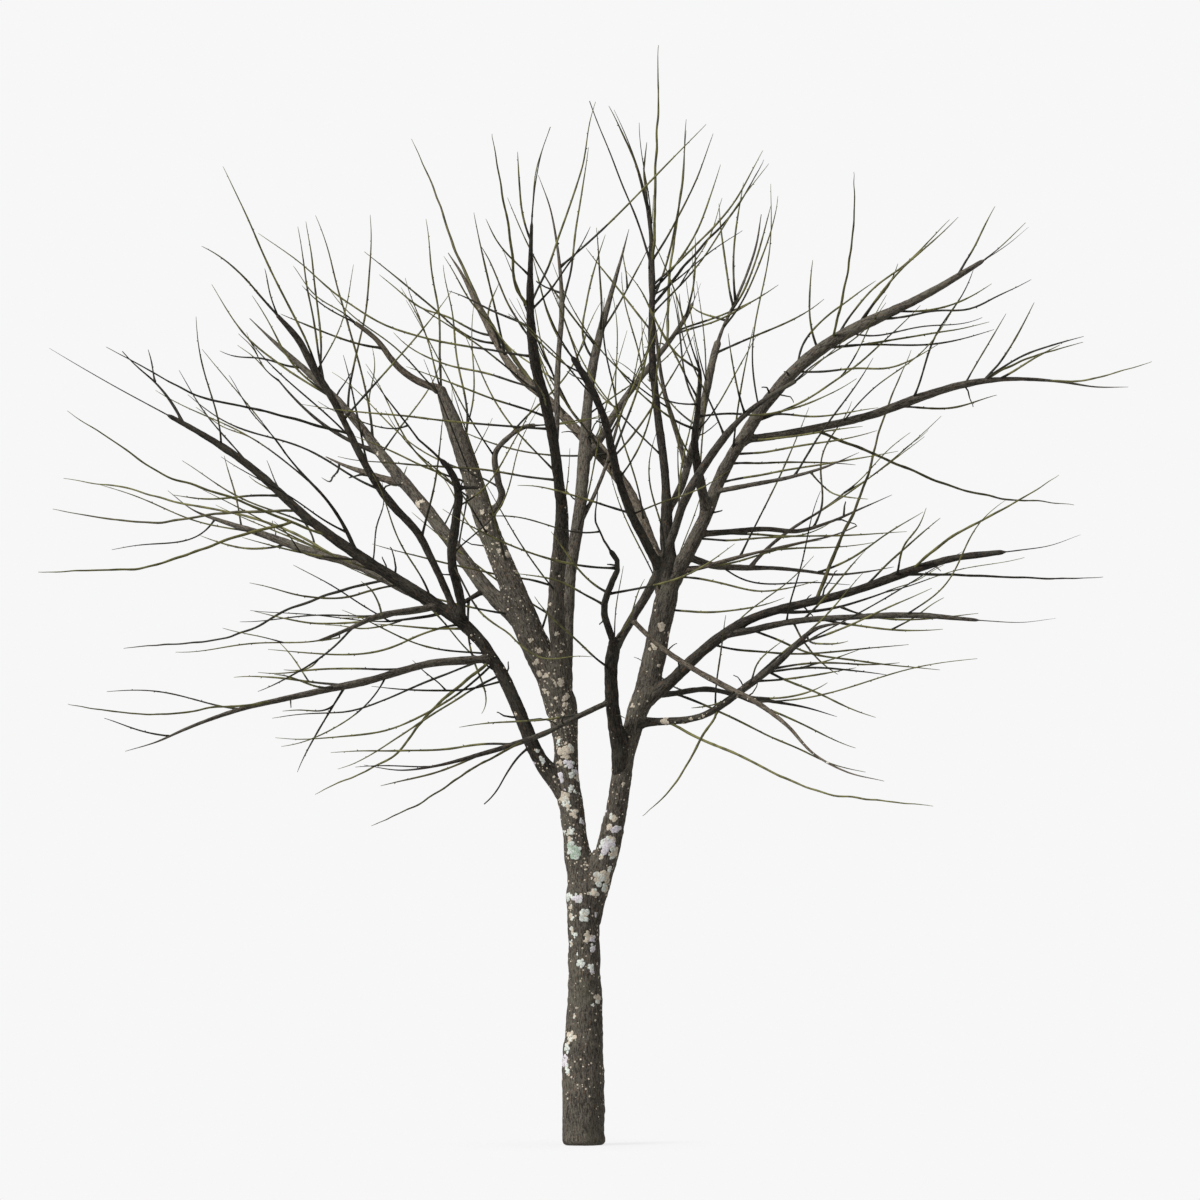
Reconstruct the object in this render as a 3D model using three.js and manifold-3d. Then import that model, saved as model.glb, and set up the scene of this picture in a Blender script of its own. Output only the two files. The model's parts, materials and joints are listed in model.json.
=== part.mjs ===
// A bare broadleaf tree in winter: one trunk that forks at chest height into two stems, and the
// boughs and long outer shoots of its crown. Millimetres, +Z up, X across the front, -Y to the front.
// The origin is the middle of the flat cut under the trunk, at ground level.

import * as THREE from "three";
import Module from "manifold-3d";

const wasm = await Module();
wasm.setup();

// --- driving dimensions -------------------------------------------------------------------------

const FIT_GAP = 0.4;          // clearance between a limb and the limb it springs from
const JOINT_REACH = 350;      // limbs that leave their parent this close together share a joint
const FLARE_HEIGHT = 900;     // how far up the trunk the root flare is still ribbed
const FLARE_RIBS = 5;         // ribs of the root flare, one above each main root
const FLARE_DEPTH = 0.035;    // height of a rib at the ground, as a share of the radius

// Sides of a limb's cross section: a limb as thick as `over` at its base gets `sides`.
const SECTIONS = [
  { over: 220, sides: 14 },
  { over: 150, sides: 10 },
  { over: 80, sides: 8 },
  { over: 38, sides: 6 },
  { over: 0, sides: 5 },
];

// Length of one ring-to-ring step, for a limb of that many sides.
const RING_STEP = { 14: 150, 10: 150, 8: 175, 6: 210, 5: 230 };

// --- bark colours -------------------------------------------------------------------------------

const BARK = { color: 0x4b463c, roughness: 0.95, metalness: 0 };
const SHOOT = { color: 0x5a5a34, roughness: 0.8, metalness: 0 };

// --- the limbs ----------------------------------------------------------------------------------
// from, at   the limb it springs from, and how far along that limb's run (0 foot, 1 tip)
// run        length measured in the front elevation
// lean       degrees from upright, + to the right, at even fractions of the run
// swing      degrees out of the elevation, + to the back, at even fractions of the run
// thick      diameter at even fractions of the run

const STEMS = [
  { name: "trunk", run: 1785, lean: [0, 0, 2, -1, -2, -7], swing: [0],
    thick: [280, 276, 270, 252, 228, 212, 203, 206, 198] },
  { name: "left_stem", from: "trunk", at: 0.96, run: 1310,
    lean: [-6, -7, -7, -4, -3, -19], swing: [3, 3, 2],
    thick: [170, 160, 152, 157, 156, 150, 155, 172, 200, 210] },
  { name: "right_stem", from: "trunk", at: 0.79, run: 1140,
    lean: [14, 20, 16, 12, 9, 9], swing: [-2, -2],
    thick: [165, 178, 176, 160, 150, 142, 137, 132, 128] },
];

const WEST_BOUGHS = [
  { name: "west_bough", from: "left_stem", at: 0.93, run: 2170,
    lean: [-27, -26, -20, -24, -19, -17, -20, -20], swing: [4, 10, 14, 14],
    thick: [195, 190, 182, 170, 145, 136, 130, 112, 110, 90, 50] },
  { name: "west_rear_bough", from: "west_bough", at: 0.26, run: 2700,
    lean: [-69, -39, -36, -38, -41, -36, -42, -48, -48, -45], swing: [24, 28, 28, 24, 16],
    thick: [105, 100, 88, 84, 78, 76, 60, 52, 44, 32, 12] },
  { name: "west_rear_arm", from: "west_rear_bough", at: 0.44, run: 560,
    lean: [-84, -73, -70, -71, -59], swing: [40, 46, 40],
    thick: [56, 48, 40, 30, 16] },
];

const LOW_WEST_BOUGHS = [
  { name: "low_west_bough", from: "left_stem", at: 0.45, run: 4530,
    lean: [-57, -23, -22, -33, -56, -58, -57, -52, -45, -55, -61, -62, -60, -59],
    swing: [-8, -6, -4, -2],
    thick: [110, 96, 86, 80, 78, 82, 72, 68, 58, 54, 45, 36, 14, 11, 8] },
  { name: "low_west_rear", from: "low_west_bough", at: 0.34, run: 1930,
    lean: [-67, -61, -65, -76, -70, -71, -73, -67, -42], swing: [34, 36, 32, 26],
    thick: [60, 60, 58, 58, 58, 54, 44, 28, 12, 8] },
  { name: "low_west_stub", from: "low_west_bough", at: 0.32, run: 860,
    lean: [-92, -86, -113, -115, -106], swing: [-36, -42, -38],
    thick: [36, 40, 40, 34, 26, 14] },
  { name: "low_west_front", from: "low_west_bough", at: 0.22, run: 2420,
    lean: [-88, -95, -109, -102, -102, -103, -110, -114, -103], swing: [-26, -32, -30, -26],
    thick: [52, 52, 50, 50, 46, 38, 32, 24, 14, 8] },
  { name: "low_west_riser", from: "low_west_bough", at: 0.29, run: 1770,
    lean: [-10, -8, 4, -35, -38, -35], swing: [-30, -40, -44, -40],
    thick: [56, 54, 52, 52, 48, 42, 30, 14, 12, 10, 8] },
  { name: "west_front_bough", from: "low_west_bough", at: 0.30, run: 2280,
    lean: [-17, -24, -27, -45, -33, -25, -26, -32, -27, -50], swing: [-14, -22, -22, -18],
    thick: [48, 46, 50, 52, 52, 49, 46, 44, 48, 44, 26] },
];

const CENTRE_BOUGHS = [
  { name: "centre_front_bough", from: "left_stem", at: 0.90, run: 3690,
    lean: [0, -6, 1, 7, -6, -9, -16, -5, 1, 2, 9, 22], swing: [-10, -24, -32, -34, -32, -26],
    thick: [110, 104, 102, 90, 62, 72, 66, 50, 24, 12, 8] },
  { name: "centre_rear_bough", from: "left_stem", at: 0.90, run: 3170,
    lean: [9, 2, 2, 11, 4, 3, 8, 15, 16, 14], swing: [10, 20, 30, 36, 38, 36],
    thick: [90, 80, 80, 86, 82, 84, 68, 62, 45, 26, 10] },
  { name: "centre_rear_arm", from: "centre_rear_bough", at: 0.49, run: 1470,
    lean: [39, 26, 34, 36, 39, 36, 27, 19], swing: [34, 46, 52, 52],
    thick: [54, 50, 48, 44, 38, 30, 10, 8] },
  { name: "centre_slim_bough", from: "centre_front_bough", at: 0.44, run: 1820,
    lean: [5, 0, 6, -4, -10, -24], swing: [24, 20, 14],
    thick: [34, 36, 40, 34, 36, 24, 16, 12, 8] },
];

const EAST_BOUGHS = [
  { name: "east_stem", from: "right_stem", at: 0.94, run: 1310,
    lean: [13, 13, 22, 13, 10, 14, 17], swing: [2, 4],
    thick: [105, 112, 125, 138, 140, 136, 138, 150] },
  { name: "east_leader", from: "east_stem", at: 0.95, run: 3150,
    lean: [-7, 0, -8, -5, 2, -3, -17, -26], swing: [4, 10, 14, 14],
    thick: [95, 95, 56, 52, 48, 45, 38, 30, 15, 12, 8] },
  { name: "east_bough", from: "east_stem", at: 0.97, run: 3360,
    lean: [35, 25, 21, 31, 34, 44, 56, 66, 64, 59, 58, 47], swing: [-2, -6, -8, -6],
    thick: [95, 92, 88, 76, 78, 80, 84, 80, 70, 56, 44, 22, 8] },
  { name: "east_level_bough", from: "east_bough", at: 0.31, run: 2580,
    lean: [92, 79, 78, 70, 71, 82, 93, 98, 86], swing: [12, 16, 14],
    thick: [55, 48, 46, 52, 58, 54, 44, 28, 18, 13, 8] },
  { name: "east_rear_bough", from: "east_leader", at: 0.14, run: 2160,
    lean: [33, 17, 16, 12, 12, 25, 23, 17, 5], swing: [36, 50, 56, 54, 50],
    thick: [56, 50, 50, 56, 38, 30, 22, 14, 8] },
  { name: "inner_front_bough", from: "east_bough", at: 0.14, run: 1150,
    lean: [0, -18, 0, 9, -4, -19], swing: [-34, -48, -50],
    thick: [72, 64, 54, 42, 30, 14, 8] },
  { name: "rear_crossing_bough", from: "east_stem", at: 0.92, run: 2720,
    lean: [-24, -20, -22, -37, -44, -41, -52, -32, -26, -26, -36], swing: [36, 44, 42, 34, 28],
    thick: [92, 88, 82, 76, 72, 62, 58, 50, 42, 30, 18] },
  { name: "east_side_arm", from: "east_bough", at: 0.10, run: 1330,
    lean: [88, 82, 95, 72, 65, 67], swing: [20, 26, 24],
    thick: [40, 38, 34, 28, 20, 14, 8] },
  { name: "east_rear_arm", from: "east_bough", at: 0.04, run: 1420,
    lean: [98, 94, 90, 100, 84, 78], swing: [44, 50, 46],
    thick: [50, 44, 34, 22, 18, 14, 8] },
  { name: "east_front_arm", from: "east_bough", at: 0.19, run: 950,
    lean: [79, 81, 78, 71, 63], swing: [-44, -48, -44],
    thick: [34, 30, 24, 16, 8] },
];

const LOW_EAST_BOUGHS = [
  { name: "low_east_bough", from: "east_stem", at: 0.36, run: 3070,
    lean: [65, 44, 55, 75, 77, 70, 71, 84, 83, 65], swing: [-12, -14, -12, -8],
    thick: [75, 75, 72, 58, 54, 52, 56, 50, 40, 14, 8] },
  { name: "low_east_front", from: "low_east_bough", at: 0.22, run: 2110,
    lean: [88, 81, 87, 87, 95, 93, 76], swing: [-24, -34, -32],
    thick: [50, 42, 40, 38, 38, 36, 24, 11, 8] },
  { name: "low_east_arch", from: "east_stem", at: 0.31, run: 1590,
    lean: [138, 92, 75, 63, 60, 49, 40, 65, 80], swing: [-36, -44, -42],
    thick: [60, 46, 44, 48, 50, 44, 38, 28, 16] },
  { name: "low_rear_arch", from: "east_stem", at: 0.32, run: 1360,
    lean: [64, 77, 102, 100, 101, 111], swing: [46, 58, 60],
    thick: [40, 38, 36, 26, 14, 8] },
];

const FRONT_BOUGHS = [
  { name: "front_stem", from: "right_stem", at: 0.95, run: 830,
    lean: [-13, -9, -2, 12], swing: [-14, -28, -26],
    thick: [95, 90, 78, 72, 72, 76, 74] },
  { name: "front_riser", from: "front_stem", at: 0.93, run: 1070,
    lean: [-5, -9, 20, -25, -13, 3], swing: [-48, -58, -62],
    thick: [46, 42, 38, 36, 32, 20, 14, 10, 8] },
  { name: "front_east_bough", from: "front_stem", at: 0.95, run: 2110,
    lean: [34, 31, 24, 16, 32, 36, 53, 63], swing: [-20, -26, -26],
    thick: [60, 56, 58, 60, 56, 58, 58, 50, 38, 30, 24] },
  { name: "front_crossing_bough", from: "front_east_bough", at: 0.27, run: 2000,
    lean: [-22, -28, -18, -11, -24, -36, -24, -11], swing: [-34, -46, -52, -54],
    thick: [60, 58, 56, 54, 50, 48, 46, 30, 12, 8] },
  { name: "low_crossing_west", from: "front_stem", at: 0.52, run: 1670,
    lean: [-109, -119, -110, -106, -104, -94, -72], swing: [-24, -32, -38],
    thick: [36, 34, 34, 36, 34, 30, 22, 12, 10, 8] },
  { name: "low_crossing_east", from: "front_east_bough", at: 0.09, run: 1910,
    lean: [118, 137, 119, 119, 117, 126, 140, 125, 106, 100], swing: [-36, -44, -48],
    thick: [34, 33, 36, 38, 40, 36, 26, 18, 14, 10, 8] },
];

// The long outer shoots that carry the crown to its furthest tips.
const WEST_SHOOTS = [
  { name: "shoot_west_1", from: "west_front_bough", at: 0.60, run: 1660,
    lean: [-70, -75, -76, -79, -63, -60, -63], swing: [-24], thick: [20, 14, 8] },
  { name: "shoot_west_2", from: "low_west_bough", at: 0.51, run: 1890,
    lean: [-70, -68, -68, -71, -70, -53, -56, -57], swing: [-20, -24], thick: [20, 15, 8] },
  { name: "shoot_west_3", from: "low_west_rear", at: 0.34, run: 1970,
    lean: [-60, -62, -70, -80, -78, -74, -82, -81], swing: [30, 28], thick: [20, 15, 8] },
  { name: "shoot_west_4", from: "low_west_bough", at: 0.57, run: 1650,
    lean: [-87, -90, -98, -97, -86, -79, -80], swing: [24, 20], thick: [20, 15, 8] },
  { name: "shoot_west_5", from: "low_west_bough", at: 0.53, run: 1840,
    lean: [-63, -102, -108, -111, -108, -92, -91, -93], swing: [-34, -26], thick: [22, 17, 9] },
  { name: "shoot_west_6", from: "low_west_rear", at: 0.19, run: 1820,
    lean: [-107, -107, -108, -119, -108, -95, -95, -95], swing: [10, 40, 44], thick: [20, 15, 8] },
  { name: "shoot_west_7", from: "low_west_front", at: 0.54, run: 1400,
    lean: [-106, -93, -99, -91, -80, -81], swing: [-40, -48], thick: [16, 12, 8] },
  { name: "shoot_west_8", from: "low_west_bough", at: 0.23, run: 1530,
    lean: [-146, -128, -134, -143, -119, -114, -117], swing: [46, 52], thick: [24, 17, 8] },
  { name: "shoot_west_9", from: "low_crossing_west", at: 0.35, run: 1130,
    lean: [-117, -115, -123, -125, -114, -112], swing: [-50, -56], thick: [18, 13, 8] },
];

const EAST_SHOOTS = [
  { name: "shoot_east_1", from: "east_level_bough", at: 0.62, run: 750,
    lean: [63, 62, 69, 74, 75], swing: [36, 42], thick: [18, 13, 8] },
  { name: "shoot_east_2", from: "east_level_bough", at: 0.79, run: 690,
    lean: [91, 91, 74, 72, 74], swing: [-22], thick: [14, 11, 8] },
  { name: "shoot_east_3", from: "east_level_bough", at: 0.18, run: 1820,
    lean: [117, 110, 115, 104, 94, 96], swing: [30, 34], thick: [22, 16, 8] },
  { name: "shoot_east_4", from: "low_east_bough", at: 0.64, run: 1100,
    lean: [41, 51, 63, 62, 57, 56], swing: [-34, -40], thick: [22, 15, 8] },
  { name: "shoot_east_5", from: "low_east_bough", at: 0.61, run: 1350,
    lean: [87, 92, 93, 90, 86], swing: [28, 30], thick: [20, 14, 8] },
  { name: "shoot_east_6", from: "low_east_arch", at: 0.14, run: 1750,
    lean: [126, 112, 116, 115, 97, 95, 96], swing: [-46, -50], thick: [20, 15, 8] },
  { name: "shoot_east_7", from: "low_east_arch", at: 0.35, run: 850,
    lean: [-143, -148, -152, -138, -126], swing: [-30, -44], thick: [20, 14, 8] },
  { name: "shoot_east_8", from: "low_east_bough", at: 0.44, run: 1760,
    lean: [6, 22, 28, 21, 14, 20, 24, 24], swing: [36, 40], thick: [30, 20, 14, 8] },
];

const TOP_SHOOTS = [
  { name: "shoot_top_1", from: "east_leader", at: 0.66, run: 1430,
    lean: [6, 0, 3, 1, 0], swing: [-8, -14], thick: [20, 16, 8] },
  { name: "shoot_top_2", from: "east_leader", at: 0.57, run: 1270,
    lean: [35, 37, 42, 41, 30, 25], swing: [40, 48], thick: [22, 15, 8] },
  { name: "shoot_top_3", from: "centre_rear_arm", at: 0.67, run: 1450,
    lean: [1, 2, 7, 9, 5, 4], swing: [20, 24], thick: [20, 16, 9] },
  { name: "shoot_top_4", from: "centre_front_bough", at: 0.65, run: 1250,
    lean: [-24, -14, -4, -13, -9, -9], swing: [-36, -40], thick: [22, 17, 9] },
  { name: "shoot_top_5", from: "rear_crossing_bough", at: 0.55, run: 2040,
    lean: [-43, -36, -33, -24, -25, -17, -23, -26], swing: [52, 36, 28], thick: [34, 28, 16, 8] },
  { name: "shoot_top_6", from: "east_bough", at: 0.56, run: 1080,
    lean: [14, 12, 8, 1, -4], swing: [-40, -48], thick: [18, 14, 8] },
];

// --- geometry -----------------------------------------------------------------------------------

// Value of a list of evenly spaced stations at the fraction f of its length.
function along(stations, f) {
  const place = Math.min(Math.max(f, 0), 1) * (stations.length - 1);
  const low = Math.min(Math.floor(place), Math.max(stations.length - 2, 0));
  const high = Math.min(low + 1, stations.length - 1);
  return THREE.MathUtils.lerp(stations[low], stations[high], place - low);
}

// Points of a limb's axis: walk its run in even steps, each step in the direction that the lean
// and the swing give at the middle of the step.
function walkAxis(limb, start) {
  const steps = Math.max(4, Math.round(limb.run / RING_STEP[limb.sides]));
  const step = limb.run / steps;
  const axis = [start.clone()];
  for (let i = 0; i < steps; i += 1) {
    const f = (i + 0.5) / steps;
    const lean = THREE.MathUtils.degToRad(along(limb.lean, f));
    const swing = THREE.MathUtils.degToRad(along(limb.swing, f));
    const move = new THREE.Vector3(Math.sin(lean), Math.tan(swing), Math.cos(lean));
    axis.push(axis[i].clone().addScaledVector(move, step));
  }
  return axis;
}

// Point on a finished limb's axis at the fraction f of its run.
function pointOn(limb, f) {
  const place = f * (limb.axis.length - 1);
  const low = Math.min(Math.floor(place), limb.axis.length - 2);
  return limb.axis[low].clone().lerp(limb.axis[low + 1], place - low);
}

// Radius of the limb's section at a ring, looking round it. Only the trunk is ribbed, at its foot.
function radiusAt(limb, ring, angle, height) {
  const round = along(limb.thick, ring / (limb.axis.length - 1)) / 2;
  if (limb.from) {
    return round;
  }
  const fade = Math.max(0, 1 - height / FLARE_HEIGHT) ** 2;
  return round * (1 + FLARE_DEPTH * fade * Math.cos(FLARE_RIBS * angle));
}

// Closed tube round the limb's axis as a manifold solid. `grow` adds to every radius and to both
// ends, which makes the cutter that leaves a fit gap.
function tubeSolid(limb, grow) {
  const { axis, sides } = limb;
  const last = axis.length - 1;
  const corners = [];
  for (let ring = 0; ring <= last; ring += 1) {
    const forward = axis[Math.min(ring + 1, last)].clone().sub(axis[Math.max(ring - 1, 0)]).normalize();
    if (ring === 0 && !limb.from) {
      forward.set(0, 0, 1);
    }
    const back = new THREE.Vector3(0, 1, 0);
    back.addScaledVector(forward, -back.dot(forward)).normalize();
    const side = new THREE.Vector3().crossVectors(back, forward);
    const centre = axis[ring].clone();
    centre.addScaledVector(forward, ring === 0 ? -grow : ring === last ? grow : 0);
    for (let k = 0; k < sides; k += 1) {
      const angle = (2 * Math.PI * k) / sides;
      const radius = radiusAt(limb, ring, angle, centre.z) + grow;
      const corner = centre.clone();
      corner.addScaledVector(side, radius * Math.cos(angle));
      corner.addScaledVector(back, radius * Math.sin(angle));
      corners.push(corner.x, corner.y, corner.z);
    }
  }
  const faces = [];
  for (let ring = 0; ring < last; ring += 1) {
    for (let k = 0; k < sides; k += 1) {
      const a = ring * sides + k;
      const b = ring * sides + ((k + 1) % sides);
      faces.push(a, b, a + sides, b, b + sides, a + sides);
    }
  }
  for (let k = 1; k < sides - 1; k += 1) {
    faces.push(0, k + 1, k);
    faces.push(last * sides, last * sides + k, last * sides + k + 1);
  }
  const mesh = { numProp: 3, vertProperties: new Float32Array(corners), triVerts: new Uint32Array(faces) };
  return new wasm.Manifold(new wasm.Mesh(mesh));
}

// Limbs that meet at the joint a limb springs from: its parent, the limbs that leave the same
// parent close by and, when it leaves near its parent's own foot, those at that foot too.
function neighboursOf(limb, grown) {
  const parent = grown.get(limb.from);
  const nearFoot = limb.at * parent.run < JOINT_REACH;
  return [...grown.values()].filter((other) => {
    const sibling = other.from === limb.from && Math.abs(other.at - limb.at) * parent.run < JOINT_REACH;
    const elder = other.name === parent.from || other.from === parent.from;
    return other === parent || sibling || (nearFoot && elder);
  });
}

// The finished solid: the limb's tube less everything it meets at its joint.
function limbSolid(limb, grown) {
  let solid = tubeSolid(limb, 0);
  if (!limb.from) {
    return solid;
  }
  for (const other of neighboursOf(limb, grown)) {
    solid = solid.subtract(tubeSolid(other, FIT_GAP));
  }
  const bodies = solid.decompose();
  bodies.sort((one, two) => two.volume() - one.volume());
  return bodies[0];
}

function toGeometry(solid) {
  const mesh = solid.getMesh();
  const geometry = new THREE.BufferGeometry();
  geometry.setAttribute("position", new THREE.BufferAttribute(mesh.vertProperties, 3));
  geometry.setIndex(new THREE.BufferAttribute(mesh.triVerts, 1));
  return geometry;
}

// --- assembly -----------------------------------------------------------------------------------

function growTree(limbs) {
  const tree = new THREE.Group();
  const grown = new Map();
  for (const limb of limbs) {
    limb.sides = SECTIONS.find((section) => limb.thick[0] >= section.over).sides;
    const start = limb.from ? pointOn(grown.get(limb.from), limb.at) : new THREE.Vector3();
    limb.axis = walkAxis(limb, start);
    const look = limb.thick[0] > 24 ? BARK : SHOOT;
    const mesh = new THREE.Mesh(toGeometry(limbSolid(limb, grown)), new THREE.MeshStandardMaterial(look));
    mesh.name = limb.name;
    tree.add(mesh);
    grown.set(limb.name, limb);
  }
  return tree;
}

export default growTree([
  ...STEMS,
  ...EAST_BOUGHS,
  ...LOW_EAST_BOUGHS,
  ...FRONT_BOUGHS,
  ...WEST_BOUGHS,
  ...CENTRE_BOUGHS,
  ...LOW_WEST_BOUGHS,
  ...WEST_SHOOTS,
  ...EAST_SHOOTS,
  ...TOP_SHOOTS,
]);
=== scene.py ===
# %% [markdown]
# # A bare winter tree
# The CAD model holds the tree's skeleton: a trunk, its boughs and the longest shoots, each one a plain
# tapering solid. This lesson dresses that skeleton: bark with real relief, joints that flow into each
# other, hundreds of slender shoots, buds, dead spurs and lichen. Every piece is worked out with numpy
# and sits exactly where the frame says.

# %% Load the frame
import json

import bpy
import numpy as np
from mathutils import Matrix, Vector

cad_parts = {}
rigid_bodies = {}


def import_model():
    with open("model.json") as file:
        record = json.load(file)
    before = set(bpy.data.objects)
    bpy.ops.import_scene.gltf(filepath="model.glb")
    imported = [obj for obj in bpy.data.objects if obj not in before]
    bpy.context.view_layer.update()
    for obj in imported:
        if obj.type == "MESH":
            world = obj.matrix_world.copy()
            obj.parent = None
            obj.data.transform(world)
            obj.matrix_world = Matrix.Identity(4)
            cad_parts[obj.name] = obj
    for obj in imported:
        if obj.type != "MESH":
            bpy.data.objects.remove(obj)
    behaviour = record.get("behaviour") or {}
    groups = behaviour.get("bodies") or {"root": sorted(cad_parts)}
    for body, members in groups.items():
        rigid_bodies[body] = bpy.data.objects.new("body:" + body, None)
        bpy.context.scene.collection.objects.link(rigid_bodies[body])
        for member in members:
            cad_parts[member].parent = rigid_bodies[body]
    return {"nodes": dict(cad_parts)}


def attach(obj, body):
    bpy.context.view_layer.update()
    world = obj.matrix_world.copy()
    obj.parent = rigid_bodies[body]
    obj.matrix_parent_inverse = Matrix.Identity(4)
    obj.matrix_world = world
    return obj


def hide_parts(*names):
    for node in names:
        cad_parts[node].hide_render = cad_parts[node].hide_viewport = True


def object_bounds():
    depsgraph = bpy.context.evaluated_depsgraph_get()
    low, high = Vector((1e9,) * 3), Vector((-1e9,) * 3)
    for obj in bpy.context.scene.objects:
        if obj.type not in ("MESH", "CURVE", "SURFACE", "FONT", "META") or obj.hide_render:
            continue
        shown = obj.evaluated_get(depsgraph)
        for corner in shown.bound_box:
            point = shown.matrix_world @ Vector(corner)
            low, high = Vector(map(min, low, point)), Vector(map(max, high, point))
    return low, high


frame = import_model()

CAD_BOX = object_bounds()
print("frame:", len(frame["nodes"]), "limbs, box", [round(v, 2) for corner in CAD_BOX for v in corner])

# %% [markdown]
# ## Small tools
# Blender meshes are lists of points and faces. It is quickest to work the points out as whole numpy
# arrays and to hand them over once. Four helpers are used everywhere below: unit vectors, dot products, a
# smooth curve through stations, and a soft 3-D noise, because nothing on a tree is quite even.

# %% Vector and noise helpers
UP = np.array([0.0, 0.0, 1.0])
LATTICE_PRIMES, SEED_PRIME = np.array([73856093, 19349663, 83492791]), 7919
HASH_ROUNDS = ((13, 1274126177), (15, 1103515245))     # shift and factor of each round
HASH_TOP, HASH_MIDDLE = 0x7FFFFFFF, 0x3FFFFFFF


def unit(vectors):
    """Each vector divided by its own length."""
    return vectors / np.maximum(np.linalg.norm(vectors, axis=-1, keepdims=True), 1e-12)


def dot(one, other):
    """Dot product over the last axis, which is kept so that it can scale vectors."""
    return np.sum(one * other, axis=-1, keepdims=True)


def noise(places, seed=0):
    """Soft noise from -1 to 1: a hashed value at each corner of a unit lattice, blended across the
    cell by the weights u * u * (3 - 2u) and their complements."""
    cell = np.floor(places).astype(np.int64)
    part = places - cell
    ease = part * part * (3 - 2 * part)
    total = np.zeros(places.shape[:-1])
    for corner in np.ndindex(2, 2, 2):
        mixed = np.bitwise_xor.reduce((cell + corner) * LATTICE_PRIMES, axis=-1) ^ (seed * SEED_PRIME)
        for shift, factor in HASH_ROUNDS:
            mixed = ((mixed ^ (mixed >> shift)) * factor) & HASH_TOP
        weight = np.prod(np.where(corner, ease, 1 - ease), axis=-1)
        total += weight * (mixed / HASH_MIDDLE - 1)
    return total


def smooth_path(stations, values, at):
    """Smooth curve through values at rising stations, read at the places `at`: a cubic on each span
    whose end slopes are those of the points either side."""
    slopes = np.gradient(values, stations, axis=0)
    low = np.clip(np.searchsorted(stations, at, side="right") - 1, 0, len(stations) - 2)
    span = stations[low + 1] - stations[low]
    t = ((at - stations[low]) / span).reshape((-1,) + (1,) * (values.ndim - 1))
    span = span.reshape(t.shape)
    one, other = values[low], values[low + 1]
    rise = (2 * t**3 - 3 * t**2 + 1) * one + (3 * t**2 - 2 * t**3) * other
    return rise + span * ((t**3 - 2 * t**2 + t) * slopes[low] + (t**3 - t**2) * slopes[low + 1])


print("noise sample:", np.round(noise(np.array([[0.5, 0.5, 0.5], [1.2, 3.4, 5.6]])), 3))

# %% [markdown]
# ## Reading the skeleton back from the frame
# Each CAD limb is a chain of rings. The cap at its free end is a flat polygon, and every ring down from
# there is one edge further from the cap. So the rings are found by walking outwards from the cap, edge by
# edge, until a ring is no longer whole: that is where the limb was cut to fit its parent. The middle of a
# ring is a point on the limb's axis, and the distance to its corners is the limb's radius there.

# %% Find the rings of every limb
CAP_CORNERS = (5, 6, 8, 10, 14)      # sections that the frame's limbs are made with
FLAT_COSINE, FLAT_GAP = 0.999, 0.0004      # how nearly level a cap's triangles lie
WELDS_PER_METRE = 1e5                # points nearer than 0.01 mm are one
HEADING_REACH = 0.02                 # a heading is read over this far each way, in metres


def welded(node):
    """A node's points with doubles merged to 0.01 mm, and its triangles."""
    mesh = frame["nodes"][node].data
    points = np.empty(len(mesh.vertices) * 3, np.float32)
    mesh.vertices.foreach_get("co", points)
    mesh.calc_loop_triangles()
    corners = np.empty(len(mesh.loop_triangles) * 3, np.int32)
    mesh.loop_triangles.foreach_get("vertices", corners)
    points = points.reshape(-1, 3).astype(float)
    rounded = np.round(points * WELDS_PER_METRE).astype(np.int64)
    _, first, same = np.unique(rounded, axis=0, return_index=True, return_inverse=True)
    return points[first], same.reshape(-1)[corners.reshape(-1, 3)]


def limb_rings(points, triangles):
    """Rings of a limb from its cut base to its free end, as lists of point numbers. A cap of n corners
    is n - 2 level triangles, and the cap that starts the longest run of whole rings is the free end."""
    a, b, c = (points[triangles[:, i]] for i in range(3))
    facing = unit(np.cross(b - a, c - a))
    offset = np.sum(facing * a, axis=1)
    level = (facing @ facing.T > FLAT_COSINE) & (np.abs(facing @ a.T - offset[:, None]) < FLAT_GAP)
    joined = np.zeros((len(points), len(points)), bool)
    for one, other in ((0, 1), (1, 2), (2, 0)):
        joined[triangles[:, one], triangles[:, other]] = True
        joined[triangles[:, other], triangles[:, one]] = True
    best = (0, 0.0, [])
    for patch in level:
        cap = np.unique(triangles[patch])
        if len(cap) not in CAP_CORNERS or patch.sum() != len(cap) - 2:
            continue
        seen = np.zeros(len(points), bool)
        rings = [cap]
        while len(rings[-1]) == len(cap):
            seen[rings[-1]] = True
            rings.append(np.nonzero(joined[rings[-1]].any(axis=0) & ~seen)[0])
        found = (len(rings) - 1, points[cap, 2].mean(), rings[-2::-1])
        best = max(best, found, key=lambda item: item[:2])
    return best[2]


class Limb:
    """One limb: its axis as a smooth path, its radius along it, and the limb that it springs from."""

    def __init__(self, name, axis, radius, parent=None):
        self.name, self.parent = name, parent
        run = np.concatenate([[0.0], np.cumsum(np.linalg.norm(np.diff(axis, axis=0), axis=1))])
        self.stations, self.axis, self.radius, self.length = run, axis, radius, run[-1]

    def point(self, at):
        """Points on the axis at distances `at` from the foot."""
        return smooth_path(self.stations, self.axis, np.atleast_1d(at))

    def thickness(self, at):
        """Radius at distances `at` from the foot."""
        return np.interp(at, self.stations, self.radius)

    def heading(self, at):
        """Unit direction of growth at distances `at` from the foot."""
        ahead = np.minimum(np.atleast_1d(at) + HEADING_REACH, self.length)
        behind = np.maximum(np.atleast_1d(at) - HEADING_REACH, 0)
        return unit(self.point(ahead) - self.point(behind))


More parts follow.
